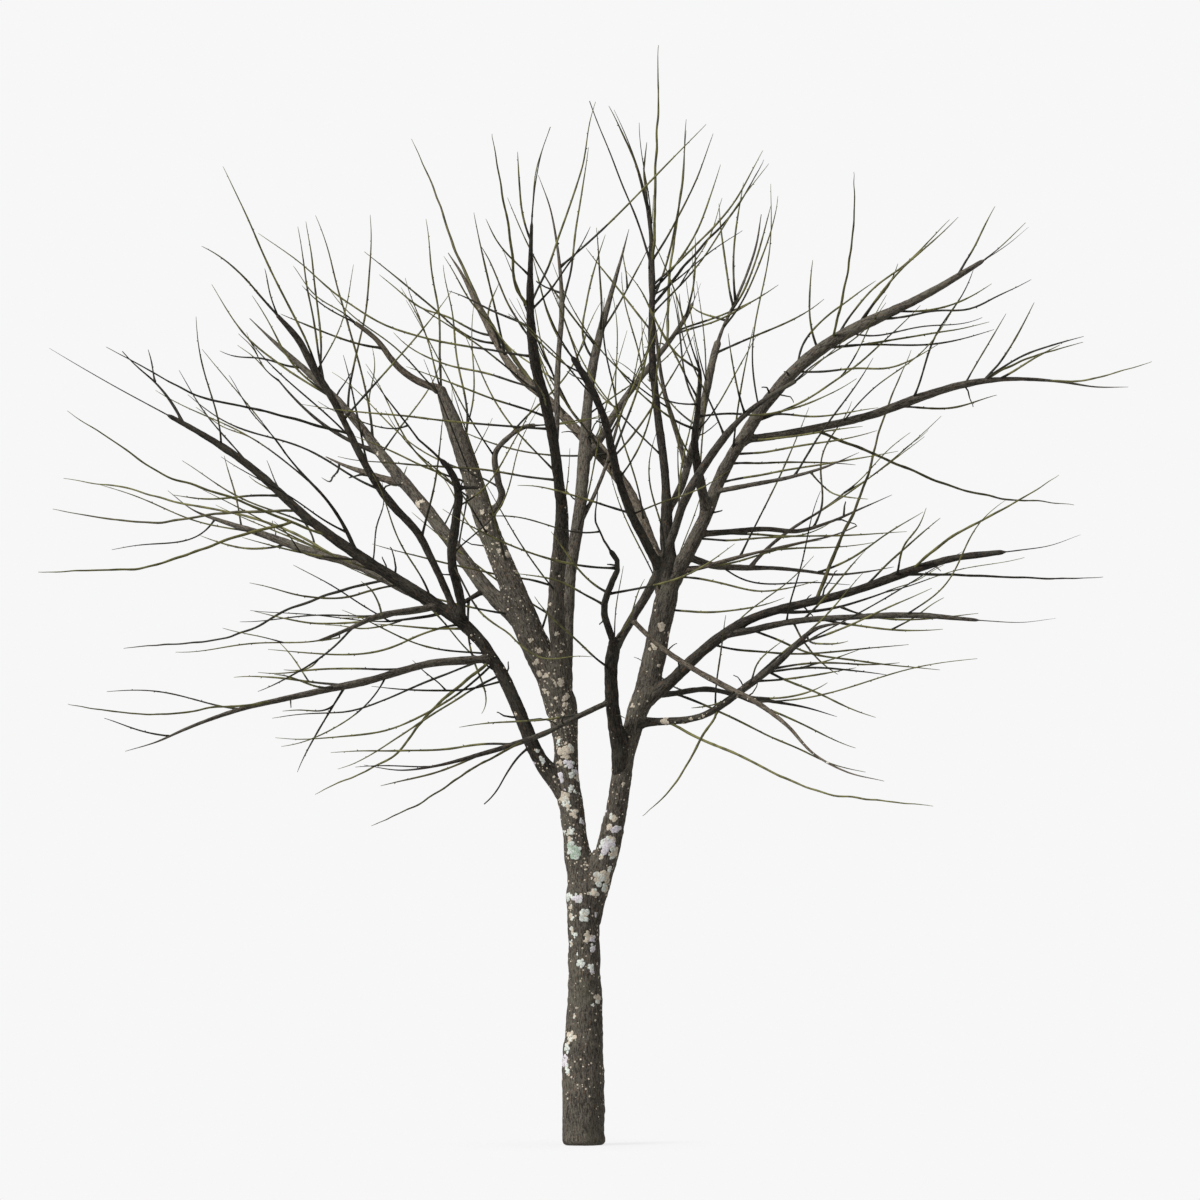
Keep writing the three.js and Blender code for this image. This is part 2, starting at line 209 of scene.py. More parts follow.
whole = {}
for node in frame["nodes"]:
    points, triangles = welded(node)
    rings = limb_rings(points, triangles)
    middles = np.array([points[ring].mean(axis=0) for ring in rings])
    radii = [np.linalg.norm(points[ring] - middle, axis=1).mean() for ring, middle in zip(rings, middles)]
    whole[node] = Limb(node, middles, np.array(radii))
print("rings read:", sum(len(limb.stations) for limb in whole.values()), "on", len(whole), "limbs")

# %% [markdown]
# ## Joining each limb to its parent
# The cut took away the last bit of each limb's axis, inside the limb that carries it. A straight line
# back from the first whole ring meets the parent's axis, or passes very near it. The limb whose axis
# that line comes closest to is the parent, and the nearest point on it is where the limb springs from.

# %% Extend each limb back to the axis of its parent
LOOK_BACK, BACK_STEP = 0.55, 0.01    # how far back a parent may be, looked at in these steps, in metres
AXIS_STEP = 0.02                     # and the axes it may have, in these
LATE_COST = 0.15                     # a parent a metre further back counts as this much further off the line
THIN_COST, THIN_SHARE = 0.20, 0.8    # and one thinner than this share of the limb's foot as this much more
THICK_END = 0.030                    # a parent with a thicker end than this goes on as its children,
FORK_DEPTH = 2.6                     # so they start this many end radii down inside it
STRAIGHT_COSINE = 0.6                # a link that turns more off the limb's heading than this slides down
SLIDE = 1.5                          # the parent by this many of its own lengths


def along_of(limb, place):
    """Distance along a limb to the point of its axis that is nearest to a place."""
    stations = np.arange(0.0, limb.length, AXIS_STEP)
    return stations[np.argmin(np.linalg.norm(limb.point(stations) - place, axis=1))]


def nearest_parent(limb):
    """The limb whose axis comes closest to the straight line back from this one, and the place where it
    does. The cost of a place is distance + LATE_COST * how far back it is, plus THIN_COST if thin."""
    back = limb.axis[0] - limb.heading(0.0) * np.arange(0.0, LOOK_BACK, BACK_STEP)[:, None]
    late = LATE_COST * np.arange(len(back))[:, None] / 100      # a hundred steps to the metre
    costs = []
    for other in whole.values():
        if other is not limb:
            line = other.point(np.arange(0.0, other.length, AXIS_STEP))
            apart = np.linalg.norm(back[:, None] - line[None], axis=2) + late
            step, place = np.unravel_index(np.argmin(apart), apart.shape)
            thin = other.thickness(place * AXIS_STEP) < THIN_SHARE * limb.radius[0]
            costs.append((apart[step, place] + THIN_COST * thin, other, line[place]))
    return min(costs, key=lambda item: item[0])[1:]


limbs = {"trunk": whole["trunk"]}
for name, limb in whole.items():
    if name == "trunk":
        continue
    parent, place = nearest_parent(limb)
    spring = along_of(parent, place)
    end_radius = parent.radius[-1]
    if parent.length - spring < FORK_DEPTH * end_radius and end_radius > THICK_END:
        spring = parent.length - FORK_DEPTH * end_radius
    link = limb.axis[0] - parent.point(spring)[0]
    if dot(unit(link), limb.heading(0.0)[0]) < STRAIGHT_COSINE:
        spring = max(0.0, spring - SLIDE * np.linalg.norm(link))
    axis = np.vstack([parent.point(spring), limb.axis])
    limbs[name] = Limb(name, axis, np.concatenate([limb.radius[:1], limb.radius]), parent.name)
print("wood:", round(sum(limb.length for limb in limbs.values()), 1), "m of limbs")

# %% [markdown]
# ## Elbows and broken ends
# The skeleton's limbs turn gently and run out to a point. On the tree a few turn in quick elbows, and
# many were once broken off: the wood ends blunt there, and only a slim shoot goes on. So before any skin
# is made, some axes are moved a little to the east or upwards, and some radii are given a step.

# %% Bend some limbs, and end the wood of some
# millimetres to the east, and upwards, at even shares of the limb's length
EASTWARD = {
    "front_riser": (0, 10, -10, -33, -39, -27, -4, 27, 28, -9, -31, -33, -38, -26, -12, -3, 0),
    "low_west_riser": (0, 22, 12, 0, 9, 27, 44, 61, 65, 65, 33, -3, 0, 0, 0, 0, 0),
    "low_east_arch": (0, 0, 0, 0, 0, -8, -20, -35, -45, -48, -48, -42, -42, -50, -60, -65, -70),
}
UPWARD = {
    "low_east_arch": (0, 0, 0, 0, 5, 12, 25, 38, 45, 48, 48, 45, 45, 48, 40, 30, 20),
    "low_east_front": (0, 15, 30, 38, 40, 38, 38, 38, 38, 36, 36, 34, 32, 30, 28, 25, 20),
}
# factors of the radius, at even shares of the length
STOUTER = {
    "front_stem": (1.15, 1.2, 1.15), "front_riser": (1.15, 1.2, 1.2, 1.0), "east_stem": (1.0, 1.1, 1.08),
    "low_west_riser": (1.1, 1.2, 1.2, 1.0), "west_bough": (1.0, 1.0, 1.08, 1.18),
    "centre_front_bough": (1.08, 1.05, 1.0, 1.0),
}
# share of the length where the wood ends, its radius there, radius of the shoot that goes on. Most of
# the shares stand as a scratch program printed them.
BLUNT_ENDS = {
    "low_west_riser": (0.585, 0.0170, 0.0080), "front_riser": (0.550, 0.0160, 0.0078),
    "east_bough": (0.892, 0.0145, 0.0040), "low_east_bough": (0.835, 0.0160, 0.0045),
    "low_east_front": (0.760, 0.0105, 0.0036), "centre_front_bough": (0.835, 0.0105, 0.0052),
    "east_leader": (0.794, 0.0125, 0.0062), "centre_rear_arm": (0.880, 0.0130, 0.0040),
    "inner_front_bough": (0.797, 0.0120, 0.0055), "east_rear_bough": (0.539, 0.0240, 0.0125),
    "front_crossing_bough": (0.694, 0.0165, 0.0050), "low_west_bough": (0.805, 0.0110, 0.0046),
}
STUB_ROUND = 0.025                  # run over which a blunt end closes, in metres
SLIM_END, FINE_RUN = 0.010, 0.45    # limbs with a slimmer end than this run out to a fine tip, over this run,
FINE_LOSS = 0.62                    # and lose this share of their radius
STATION_STEP = 0.015
MILLIMETRE = 0.001


def from_rows(table, name, share, usual):
    """What a table says at shares of a limb's length, or the usual value for a limb it leaves out."""
    rows = table.get(name, (usual,))
    return np.interp(share, np.linspace(0, 1, len(rows)), rows)


for name, limb in limbs.items():
    share = np.linspace(0, 1, int(limb.length / STATION_STEP))
    axis, radius = limb.point(share * limb.length), limb.thickness(share * limb.length)
    axis[:, 0] += MILLIMETRE * from_rows(EASTWARD, name, share, 0)
    axis[:, 2] += MILLIMETRE * from_rows(UPWARD, name, share, 0)
    radius = radius * from_rows(STOUTER, name, share, 1)
    if name in BLUNT_ENDS:
        end, end_radius, shoot_radius = BLUNT_ENDS[name]
        half = limb.thickness(0.5 * end * limb.length)
        wood = np.maximum(radius, np.interp(share, (0.5 * end, end), (half, end_radius)))
        shoot = shoot_radius * (1 - 0.5 * (share - end) / (1 - end))
        closing = np.clip((share - end) * limb.length / STUB_ROUND, 0, 1)
        radius = wood + closing * (np.minimum(shoot, wood) - wood)
    if radius[-1] < SLIM_END:
        nearly = np.clip(1 - (1 - share) * limb.length / FINE_RUN, 0, 1)
        radius = radius * (1 - FINE_LOSS * nearly ** 2)
    limbs[name] = Limb(name, axis, radius, limb.parent)
print("bent:", sorted({*EASTWARD, *UPWARD}), "blunt:", len(BLUNT_ENDS))

# %% [markdown]
# ## From paths to tubes
# Every limb, shoot and spur is a profile carried along a path. The ring at each point needs two
# directions across the path. They are carried from point to point, each time less their part along the
# new heading, so that the tube never twists. Both ends are closed by a fan round a pole.

# %% Tubes along many paths at once
def carried_frames(paths):
    """Heading and two unit directions across each path. The first direction is the last one less its
    part along the heading, and the second is heading x first."""
    heading = unit(np.gradient(paths, axis=1))
    steady = np.where(np.abs(heading[:, 0, 2:]) > 0.9, np.array([[1.0, 0.0, 0.0]]), UP[None])
    side = np.empty_like(paths)
    side[:, 0] = unit(steady - dot(steady, heading[:, 0]) * heading[:, 0])
    for i in range(1, paths.shape[1]):
        side[:, i] = unit(side[:, i - 1] - dot(side[:, i - 1], heading[:, i]) * heading[:, i])
    return heading, side, np.cross(heading, side)


def ring_points(paths, radii, sides):
    """Corner = point + radius * (cos(angle) * side + sin(angle) * back), for every point of each path."""
    _, side, back = carried_frames(paths)
    angle = np.linspace(0, 2 * np.pi, sides, endpoint=False)[:, None]
    out = np.cos(angle) * side[:, :, None] + np.sin(angle) * back[:, :, None]
    return paths[:, :, None] + radii[..., None, None] * out


def tube_faces(tubes, rings, sides):
    """Corner numbers of the side quads and of the two fans, for tubes stored one after the other as
    rings * sides corners, with all the start poles and then all the end poles after them."""
    ring, corner = np.meshgrid(np.arange(rings - 1), np.arange(sides), indexing="ij")
    after = (corner + 1) % sides
    quad = np.stack([ring * sides + corner, ring * sides + after, (ring + 1) * sides + after,
                     (ring + 1) * sides + corner], axis=-1).reshape(-1, 4)
    first = np.arange(tubes)[:, None, None] * rings * sides
    k = np.arange(sides)
    foot = np.stack([(k + 1) % sides, k], axis=-1)[None] + first
    tip = np.stack([k, (k + 1) % sides], axis=-1)[None] + first + (rings - 1) * sides
    poles = tubes * rings * sides + np.arange(2 * tubes).reshape(2, tubes, 1, 1)
    fan = np.concatenate([
        np.concatenate([np.broadcast_to(poles[0], foot.shape[:2] + (1,)), foot], axis=-1),
        np.concatenate([np.broadcast_to(poles[1], tip.shape[:2] + (1,)), tip], axis=-1),
    ]).reshape(-1, 3)
    return (quad[None] + first).reshape(-1, 4), fan


class Piece:
    """Points and faces gathered for one Blender object. `places` may hold a second point for each
    point: where it lies on a straightened limb, for patterns that follow the bark."""

    def __init__(self):
        self.points, self.quads, self.fans, self.places, self.count = [], [], [], [], 0

    def add(self, points, quads, fans, places=None):
        self.points.append(points)
        self.quads.append(quads + self.count)
        self.fans.append(fans + self.count)
        if places is not None:
            self.places.append(places)
        self.count += len(points)

    def add_tubes(self, paths, radii, sides):
        """Closed tubes along all paths. paths is (tubes, rings, 3) and radii is (tubes, rings)."""
        if len(paths) == 0:
            return
        rings = ring_points(paths, radii, sides)
        quads, fans = tube_faces(*rings.shape[:3])
        self.add(np.concatenate([rings.reshape(-1, 3), paths[:, 0], paths[:, -1]]), quads, fans)

    def triangles(self):
        return sum(2 * len(quads) for quads in self.quads) + sum(len(fans) for fans in self.fans)

    def make(self, name, material, slot, stands_for=()):
        """The Blender object: it rides on the tree's one body and may stand for CAD limbs."""
        mesh = bpy.data.meshes.new(name)
        faces = np.concatenate(self.quads).tolist() + np.concatenate(self.fans).tolist()
        mesh.from_pydata(np.concatenate(self.points), [], faces)
        mesh.shade_smooth()
        if self.places:
            place = mesh.attributes.new("bark_place", "FLOAT_VECTOR", "POINT")
            place.data.foreach_set("vector", np.concatenate(self.places).astype(np.float32).ravel())
        mesh.materials.append(material)
        piece = bpy.data.objects.new(name, mesh)
        bpy.context.scene.collection.objects.link(piece)
        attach(piece, "root")
        if stands_for:
            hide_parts(*stands_for)


# %% [markdown]
# ## Bark with real relief
# Bark on this tree is fine: shallow furrows that run along the limb, a coarser unevenness of the wood
# under it, and swellings where limbs meet. A bump map alone would leave a smooth outline against the
# sky, so the relief is in the mesh. The furrows are noise on a straightened copy of the limb, stretched
# along it: its points are (radius cos, radius sin, distance along), so that the pattern has no seam.
#
# Where two limbs meet, wood fills the angle between them. A curve that touches both skins smoothly is
# sqrt(x) + sqrt(d) = sqrt(k), where x and d are the distances to them and k is the width of the joint. So
# each skin moves out by (sqrt(k) - sqrt(d))^2 where it is d from the other one, at most k / 4. Both limbs
# follow that rule and meet half way with the same slope, in a smooth hollow and not in a crease. Where
# one limb only carries on from the other, their skins face the same way, and nothing is filled in.

# %% Where a limb meets the others
JOINT_WIDTH = 1.3                         # width of a joint, in radii of the thinner limb
JOINT_SIBLINGS = 0.35                     # limbs that leave a parent this close share a joint
EMERGED = 0.8                             # root depths after which a limb has come out of its parent
SPAN = 0.05                               # length of the straight spans that a gap is measured to


def surface_gap(points, limb, low, high):
    """Distance from points to the skin of a limb between two distances along it: to the nearest place
    on each short span of its axis, less the radius there. The direction straight out from that span
    comes with it."""
    stations = np.arange(low, high + SPAN, SPAN)
    axis, radius = limb.point(np.minimum(stations, limb.length)), limb.thickness(stations)
    start, span = axis[:-1], np.diff(axis, axis=0)
    along = np.sum((points[:, None] - start) * span, axis=2) / np.maximum(np.sum(span * span, axis=1), 1e-12)
    along = np.clip(along, 0, 1)
    away = points[:, None] - (start + along[..., None] * span)
    gap = np.linalg.norm(away, axis=2) - (radius[:-1] + along * np.diff(radius))
    least = np.argmin(gap, axis=1)
    rows = np.arange(len(points))
    away, span = away[rows, least], unit(span)[least]
    return gap[rows, least], unit(away - dot(away, span) * span)


def root_depth(limb):
    """How much of a limb's foot is inside its parent: the parent's radius where the limb springs."""
    if not limb.parent:
        return 0.0
    parent = limbs[limb.parent]
    return float(parent.thickness(along_of(parent, limb.axis[0])))


def joint_partners(limb):
    """Limbs that share a joint with this one: each with the joint's place, its width, and the distance
    along the other limb at which it has come out of the wood that carries it."""
    found = []
    for other in limbs.values():
        if other.name == limb.parent:
            found.append((other, limb.axis[0], JOINT_WIDTH * limb.radius[0], 0.0))
        elif other.parent == limb.name:
            found.append((other, other.axis[0], JOINT_WIDTH * other.radius[0], EMERGED * root_depth(other)))
        elif other is not limb and limb.parent and other.parent == limb.parent:
            if np.linalg.norm(other.axis[0] - limb.axis[0]) < JOINT_SIBLINGS:
                width = JOINT_WIDTH * min(limb.radius[0], other.radius[0])
                found.append((other, limb.axis[0], width, EMERGED * root_depth(other)))
    return found


# %% How a limb starts and ends
FOOT_SHARE, ROOT_RUN = 0.6, 1.1           # share of the radius at the hidden foot; root depths to all of it
COLLAR, COLLAR_RUN = 0.15, 0.09           # a bough is this share thicker where it comes out, over this run,
SLIGHTER = 0.6                            # if its foot is thinner than this share of its parent
WIDE_ROOTS = {"low_east_arch": 0.75, "centre_front_bough": 0.45, "centre_rear_bough": 0.45}    # wider ones
DOME_RINGS = 7
BURIED_DOME, FREE_DOME = 2.0, 0.9         # depth of the dome at a limb's end, in end radii
LONG_DOMES = {"east_stem": 3.2}           # the buried ones that go deeper


def foot_taper(limb, stations):
    """The foot is hidden in the parent, so it starts at FOOT_SHARE of its radius and swells to the whole
    of it by u * u * (3 - 2u), where u is the distance along in root depths. Past the parent's skin a
    collar of (1 + collar * exp(-distance / run)) is left on it."""
    if not limb.parent:
        return np.ones(len(stations))
    depth = root_depth(limb)
    u = np.clip(stations / (ROOT_RUN * depth), 0, 1)
    collar = WIDE_ROOTS.get(limb.name, COLLAR if limb.radius[0] < SLIGHTER * depth else 0.0)
    collar = collar * np.exp(-np.clip(stations - depth, 0, None) / COLLAR_RUN)
    return (FOOT_SHARE + (1 - FOOT_SHARE) * u * u * (3 - 2 * u)) * (1 + collar)


def dome_depth(limb):
    """Depth of the dome at a limb's end: longer where the limb goes on as its children and it is hidden
    in their wood."""
    end_radius = float(limb.thickness(limb.length))
    return end_radius * (LONG_DOMES.get(limb.name, BURIED_DOME) if end_radius > THICK_END else FREE_DOME)


def skin_stations(limb, straight_rows):
    """Distances along a limb of its rows of skin corners: even ones, then those of the dome at its end,
    at length - depth + depth * sin(a). The shares cos(a) by which the dome closes come with them."""
    depth = dome_depth(limb)
    dome = np.linspace(0, np.pi / 2, DOME_RINGS + 2)[1:-1]
    straight = np.linspace(0, limb.length - depth, straight_rows)
    return np.concatenate([straight, limb.length - depth + depth * np.sin(dome)]), np.cos(dome)


# %% Relief of the bark
LUMP_SIZE = 0.11                                         # slow unevenness of the wood, in metres
LUMP_LAYERS = ((1.0, 1.0, 3), (0.5, 0.45, 4), (0.4, 0.22, 7))    # amount, share of that size, seed
LUMP_RADII, LUMP_SHARES = (0.03, 0.09), (0.095, 0.05)    # its share of the radius, on thin and thick wood
FURROW_DEPTH, FURROW_SHARE = 0.0022, 0.028               # deepest furrow, at most this share of the radius
FURROW_SIZE = np.array([0.016, 0.016, 0.055])
GRAIN_SIZE, GRAIN = np.array([0.008, 0.008, 0.016]), 0.35
FURROW_POWER = 0.7      # under 1, so that the furrows are narrower than the ridges between them
LEVEL = 0.6             # the height of that pattern which is level with the skin


def relief(corner, place, radius):
    """How far the bark stands out: a sum of amount * noise(corner / size) times a share of the radius, and
    furrows of |noise| ** FURROW_POWER with a grain on them."""
    lump = sum(amount * noise(corner / (share * LUMP_SIZE), seed) for amount, share, seed in LUMP_LAYERS)
    furrow = np.abs(noise(place / FURROW_SIZE, 5)) ** FURROW_POWER + GRAIN * noise(place / GRAIN_SIZE, 6)
    carving = np.minimum(FURROW_DEPTH, FURROW_SHARE * radius)
    return np.interp(radius, LUMP_RADII, LUMP_SHARES) * radius * lump + carving * (furrow - LEVEL)


# %% Wood that fills the joints
NEAR_JOINT, WIDTHS_NEAR = 0.15, 4      # only skin this near a joint is moved: metres, plus joint widths
ALONG_JOINT = 0.5                      # the other limb is looked at over this run each way
DEEPEST = 0.25                         # share of the width below which the gap counts as no smaller
FACING_GAIN = 3                        # fill fades as the cosine between the two skins goes from 2/3 to 1


def joint_fill(limb, corner, out):
    """The most that any joint asks for at each corner: (sqrt(k) - sqrt(d))^2 times how much the other
    limb's skin faces another way."""
    fill = np.zeros(corner.shape[:2])
    for other, joint, width, emerged in joint_partners(limb):
        near = np.linalg.norm(corner - joint, axis=2) < NEAR_JOINT + WIDTHS_NEAR * width
        if near.any():
            middle = along_of(other, joint)
            low, high = max(emerged, middle - ALONG_JOINT), min(other.length, middle + ALONG_JOINT)
            gap, away = surface_gap(corner[near], other, low, high)
            facing = np.clip(FACING_GAIN - FACING_GAIN * np.sum(away * out[near], axis=1), 0, 1)
            wanted = (np.sqrt(width) - np.sqrt(np.clip(gap, DEEPEST * width, width))) ** 2
            fill[near] = np.maximum(fill[near], facing * wanted)
    return fill


# %% The skin of a limb
RIB_HEIGHT, RIBS, RIB_SHARE = 0.9, 5, 0.035     # root flare ribs, as on the frame's trunk
FOOT_ROUND = 0.025                              # rounded rim of the foot


def bark_skin(limb, step, columns):
    """Rows of skin corners of a limb, with each corner's place on the straightened limb. The free end
    is a dome, with radius * cos(a)."""
    stations, closing = skin_stations(limb, max(4, int(limb.length / step)))
    radius = limb.thickness(stations) * foot_taper(limb, stations)
    radius[-DOME_RINGS:] *= closing
    radius = np.repeat(radius[:, None], columns, axis=1)
    angle = np.linspace(0, 2 * np.pi, columns, endpoint=False)
    path = limb.point(stations)
    if limb.name == "trunk":
        path[0, 2] = 0.0
        rise = np.clip(1 - stations / RIB_HEIGHT, 0, 1)[:, None] ** 2
        radius = radius * (1 + RIB_SHARE * rise * np.cos(RIBS * angle))
        radius -= FOOT_ROUND * (1 - np.sqrt(np.clip(stations / FOOT_ROUND, 0, 1)))[:, None]
    centre = path[:, None]
    out = unit(ring_points(path[None], np.ones((1, len(path))), columns)[0] - centre)
    corner = centre + radius[..., None] * out
    along = np.repeat(stations[:, None], columns, axis=1)
    place = np.stack([radius * np.cos(angle), radius * np.sin(angle), along], axis=-1)
    move = relief(corner, place, radius) + joint_fill(limb, corner, out)
    corner = corner + move[..., None] * out
    if limb.name == "trunk":
        corner[0, :, 2] = 0.0
        corner[..., 2] = np.maximum(corner[..., 2], 0.0)
    return path, corner, place


def add_bark(piece, limb, step, columns):
    """Puts the skin of a limb, closed by a pole at each end, into a piece. Returns its corners."""
    path, corner, place = bark_skin(limb, step, columns)
    quads, fans = tube_faces(1, *corner.shape[:2])
    points = np.vstack([corner.reshape(-1, 3), path[:1], limb.point(limb.length)])
    places = np.vstack([place.reshape(-1, 3), [[0, 0, 0], [0, 0, limb.length]]])
    piece.add(points, quads, fans, places)
    return corner


# %% [markdown]
# ## Finishes
# A finish is a small network of nodes. One class adds nodes, and one wraps their outputs so that masks
# are written as sums: `1 - mask` becomes a Math node. Bark is two tones of grey-brown in streaks along
# the limb, with rusty and bluish flecks, a film of algae in soft patches, and a fine bump on top of the
# relief that the mesh already has. The streaks read the place on the straightened limb, so they turn
# with every bend.

# %% A finish as a network of nodes
class Value:
    """One output of a finish. Arithmetic with numbers or other values adds Math nodes."""

    def __init__(self, finish, socket):
        self.finish, self.socket = finish, socket

    def _math(self, operation, one, other):
        return self.finish.node("Math", {"operation": operation}, {0: one, 1: other})

    def __add__(self, other):
        return self._math("ADD", self, other)

    def __radd__(self, other):
        return self._math("ADD", other, self)

    def __sub__(self, other):
        return self._math("SUBTRACT", self, other)

    def __rsub__(self, other):
        return self._math("SUBTRACT", other, self)

    def __mul__(self, other):
        return self._math("MULTIPLY", self, other)

    def __rmul__(self, other):
        return self._math("MULTIPLY", other, self)

    def above(self, low, high):
        """0 below low, 1 above high, a smooth step between them."""
        settings = {"interpolation_type": "SMOOTHSTEP"}
        return self.finish.node("MapRange", settings, {"Value": self, "From Min": low, "From Max": high})


class Finish:
    """A material or a sky, with one method that adds any node to it and short names for common ones."""

    def __init__(self, name, kind="materials"):
        self.owner = getattr(bpy.data, kind).new(name)
        self.owner.use_nodes = True
        self.tree = self.owner.node_tree
        self.tree.nodes.clear()

    def node(self, kind, settings=None, inputs=None, output=0):
        """Adds a node, makes its settings, fills its sockets with numbers or links, gives one output."""
        made = self.tree.nodes.new("ShaderNode" + kind)
        for setting, value in (settings or {}).items():
            setattr(made, setting, value)
        for socket, value in (inputs or {}).items():
            if isinstance(value, Value):
                self.tree.links.new(value.socket, made.inputs[socket])
            else:
                made.inputs[socket].default_value = value
        return Value(self, made.outputs[output]) if made.outputs else None

    def object_place(self):
        return self.node("TexCoord", output=3)

    def mottle(self, places, scale, detail, roughness):
        """Soft noise from 0 to 1 with lumps of about 1 / scale metres."""
        inputs = {"Vector": places, "Scale": scale, "Detail": detail, "Roughness": roughness}
        return self.node("TexNoise", inputs=inputs)

    def stretched(self, places, amounts):
        return self.node("VectorMath", {"operation": "MULTIPLY"}, {0: places, 1: amounts})

    def mixed(self, mask, one, other):
        """Colour one where the mask is 0, colour other where it is 1."""
        one, other = (v if isinstance(v, Value) else (*v, 1.0) for v in (one, other))
        return self.node("Mix", {"data_type": "RGBA"}, {0: mask, 6: one, 7: other}, output=2)

    def bump(self, height, distance):
        return self.node("Bump", inputs={"Height": height, "Distance": distance, "Strength": 1.0})

    def surface(self, colour, roughness, normal, specular=0.25):
        inputs = {"Base Color": colour, "Roughness": roughness, "Normal": normal,
                  "Specular IOR Level": specular}
        shader = self.node("BsdfPrincipled", inputs=inputs)
        self.node("OutputMaterial", inputs={"Surface": shader})
        return self.owner


# %% Bark, by tone
RUST, SLATE, ALGAE = (0.150, 0.085, 0.045), (0.105, 0.115, 0.125), (0.110, 0.118, 0.075)
# The second pair is near-black bark: painted shade, dealt to limbs that lie in shade.
GREY, PAINTED_SHADE_BARK = ((0.030, 0.025, 0.019), (0.170, 0.149, 0.118)), ((0.011, 0.009, 0.007), (0.066, 0.057, 0.044))
BARK_TONES = {     # dark and light streaks, amount of algae, run from the foot over which it starts as grey
    "grey": (*GREY, 0.20, None),
    "brown": ((0.032, 0.026, 0.019), (0.190, 0.156, 0.117), 0.15, None),
    # A dimmer grey-brown: painted half shade.
    "painted_half_shade": ((0.019, 0.016, 0.012), (0.108, 0.095, 0.076), 0.15, None),
    # Near-black bark: painted shade. The next two start grey near the foot and turn to painted shade further
    # along the limb.
    "dark": (*PAINTED_SHADE_BARK, 0.10, None),
    "painted_shade_past_foot": (*PAINTED_SHADE_BARK, 0.10, (0.04, 0.32)),
    "painted_shade_far_out": (*PAINTED_SHADE_BARK, 0.10, (0.95, 1.55)),
}


def bark_finish(name, dark, light, algae, fade):
    """Streaked bark. `algae` is how much of the soft greenish film lies on it, and `fade` the distances
    along the limb between which its own tones take over from grey ones; where a fade is given, those own
    tones are painted shade."""
    finish = Finish("bark_" + name)
    place = finish.node("Attribute", {"attribute_name": "bark_place"}, output=1)
    streak = finish.mottle(finish.stretched(place, (1.0, 1.0, 0.20)), 125.0, 4.0, 0.65)
    crust = finish.mottle(finish.stretched(place, (1.0, 1.0, 0.6)), 150.0, 4.0, 0.7)
    drift = finish.mottle(finish.object_place(), 5.0, 3.0, 0.55)
    tone = (0.55 * streak + 0.45 * crust + 0.15 * (drift - 0.5)).above(0.40, 0.60)
    colour = finish.mixed(tone, dark, light)
    # Painted shade: grey near the foot gives way to the shade tone further along the limb.
    if fade:
        along = finish.node("SeparateXYZ", inputs={0: place}, output=2)
        colour = finish.mixed(along.above(*fade), finish.mixed(tone, *GREY), colour)
    colour = finish.mixed(algae * drift.above(0.50, 0.68), colour, ALGAE)
    fleck = finish.mottle(finish.stretched(place, (1.0, 1.0, 0.5)), 60.0, 2.0, 0.5)
    other_fleck = finish.mottle(finish.stretched(place, (1.3, 1.3, 0.6)), 75.0, 2.0, 0.5)
    colour = finish.mixed(0.55 * fleck.above(0.64, 0.70), colour, RUST)
    colour = finish.mixed(0.45 * other_fleck.above(0.65, 0.71), colour, SLATE)
    normal = finish.bump(0.7 * streak + 0.5 * crust, 0.004)
    return finish.surface(colour, 0.78 + 0.2 * crust, normal)


bark = {name: bark_finish(name, *tones) for name, tones in BARK_TONES.items()}
print("bark finishes:", list(bark))

# %% [markdown]
# ## The trunk, stems and boughs
# Each thick limb gets a skin of its own and stands for its CAD solid. The grid is fine enough to hold
# the furrows on the trunk and coarser on thin boughs, where they would not show. The limbs on the near
# side and in the heart of the crown get darker bark tones as painted shade; the ones in the open are a greyer
# brown.

# %% Skins for the thick limbs
BARK_CELLS = ((0.080, 0.0060), (0.040, 0.0080), (0.0, 0.0100))   # from this radius up: width of a cell
CELL_STRETCH = 1.3                        # its length, in widths
GIRTH_AT = 0.3                            # share of the length where that radius is taken
FEWEST_COLUMNS, MOST_COLUMNS = 12, 144
# Every tone here but brown is painted shade: darker bark for limbs that lie in shade.
LIMB_TONES = {
    "painted_shade_far_out": ("centre_front_bough",),
    "painted_shade_past_foot": ("low_west_bough", "low_east_bough", "inner_front_bough", "east_leader", "low_rear_arch"),
    "dark": ("front_stem", "front_riser", "front_crossing_bough", "low_west_riser"),
    "painted_half_shade": ("west_front_bough", "front_east_bough", "low_east_front", "low_crossing_west", "low_east_arch"),
    "brown": ("rear_crossing_bough", "low_crossing_east", "west_rear_arm"),
}


def limb_tone(name):
    return next((tone for tone, names in LIMB_TONES.items() if name in names), "grey")


thick_limbs = [limb for limb in limbs.values() if not limb.name.startswith("shoot_")]
shoots = [limb for limb in limbs.values() if limb.name.startswith("shoot_")]
skins = {}
bark_triangles = 0
for limb in thick_limbs:
    middle = limb.thickness(GIRTH_AT * limb.length)
    cell = next(size for radius, size in BARK_CELLS if middle > radius)
    columns = int(np.clip(2 * np.pi * middle / cell, FEWEST_COLUMNS, MOST_COLUMNS))
    piece = Piece()
    skins[limb.name] = add_bark(piece, limb, CELL_STRETCH * cell, columns)
    piece.make("bark_" + limb.name, bark[limb_tone(limb.name)], "bark", (limb.name,))
    bark_triangles += piece.triangles()
print("bark:", len(skins), "limbs,", bark_triangles, "triangles")

# %% [markdown]
# ## Small boughs
# Some boughs are too slight for the CAD model but too thick for a shoot. They are walked in even steps,
# as the CAD limbs are: each step leans so many degrees to the east of upright and swings so many degrees
# away to the back. Their skins are made in the same way as the others and joined, one piece to a tone.

# %% Walk the small boughs
WALK_STEPS, SMALL_CELL = 12, 0.012
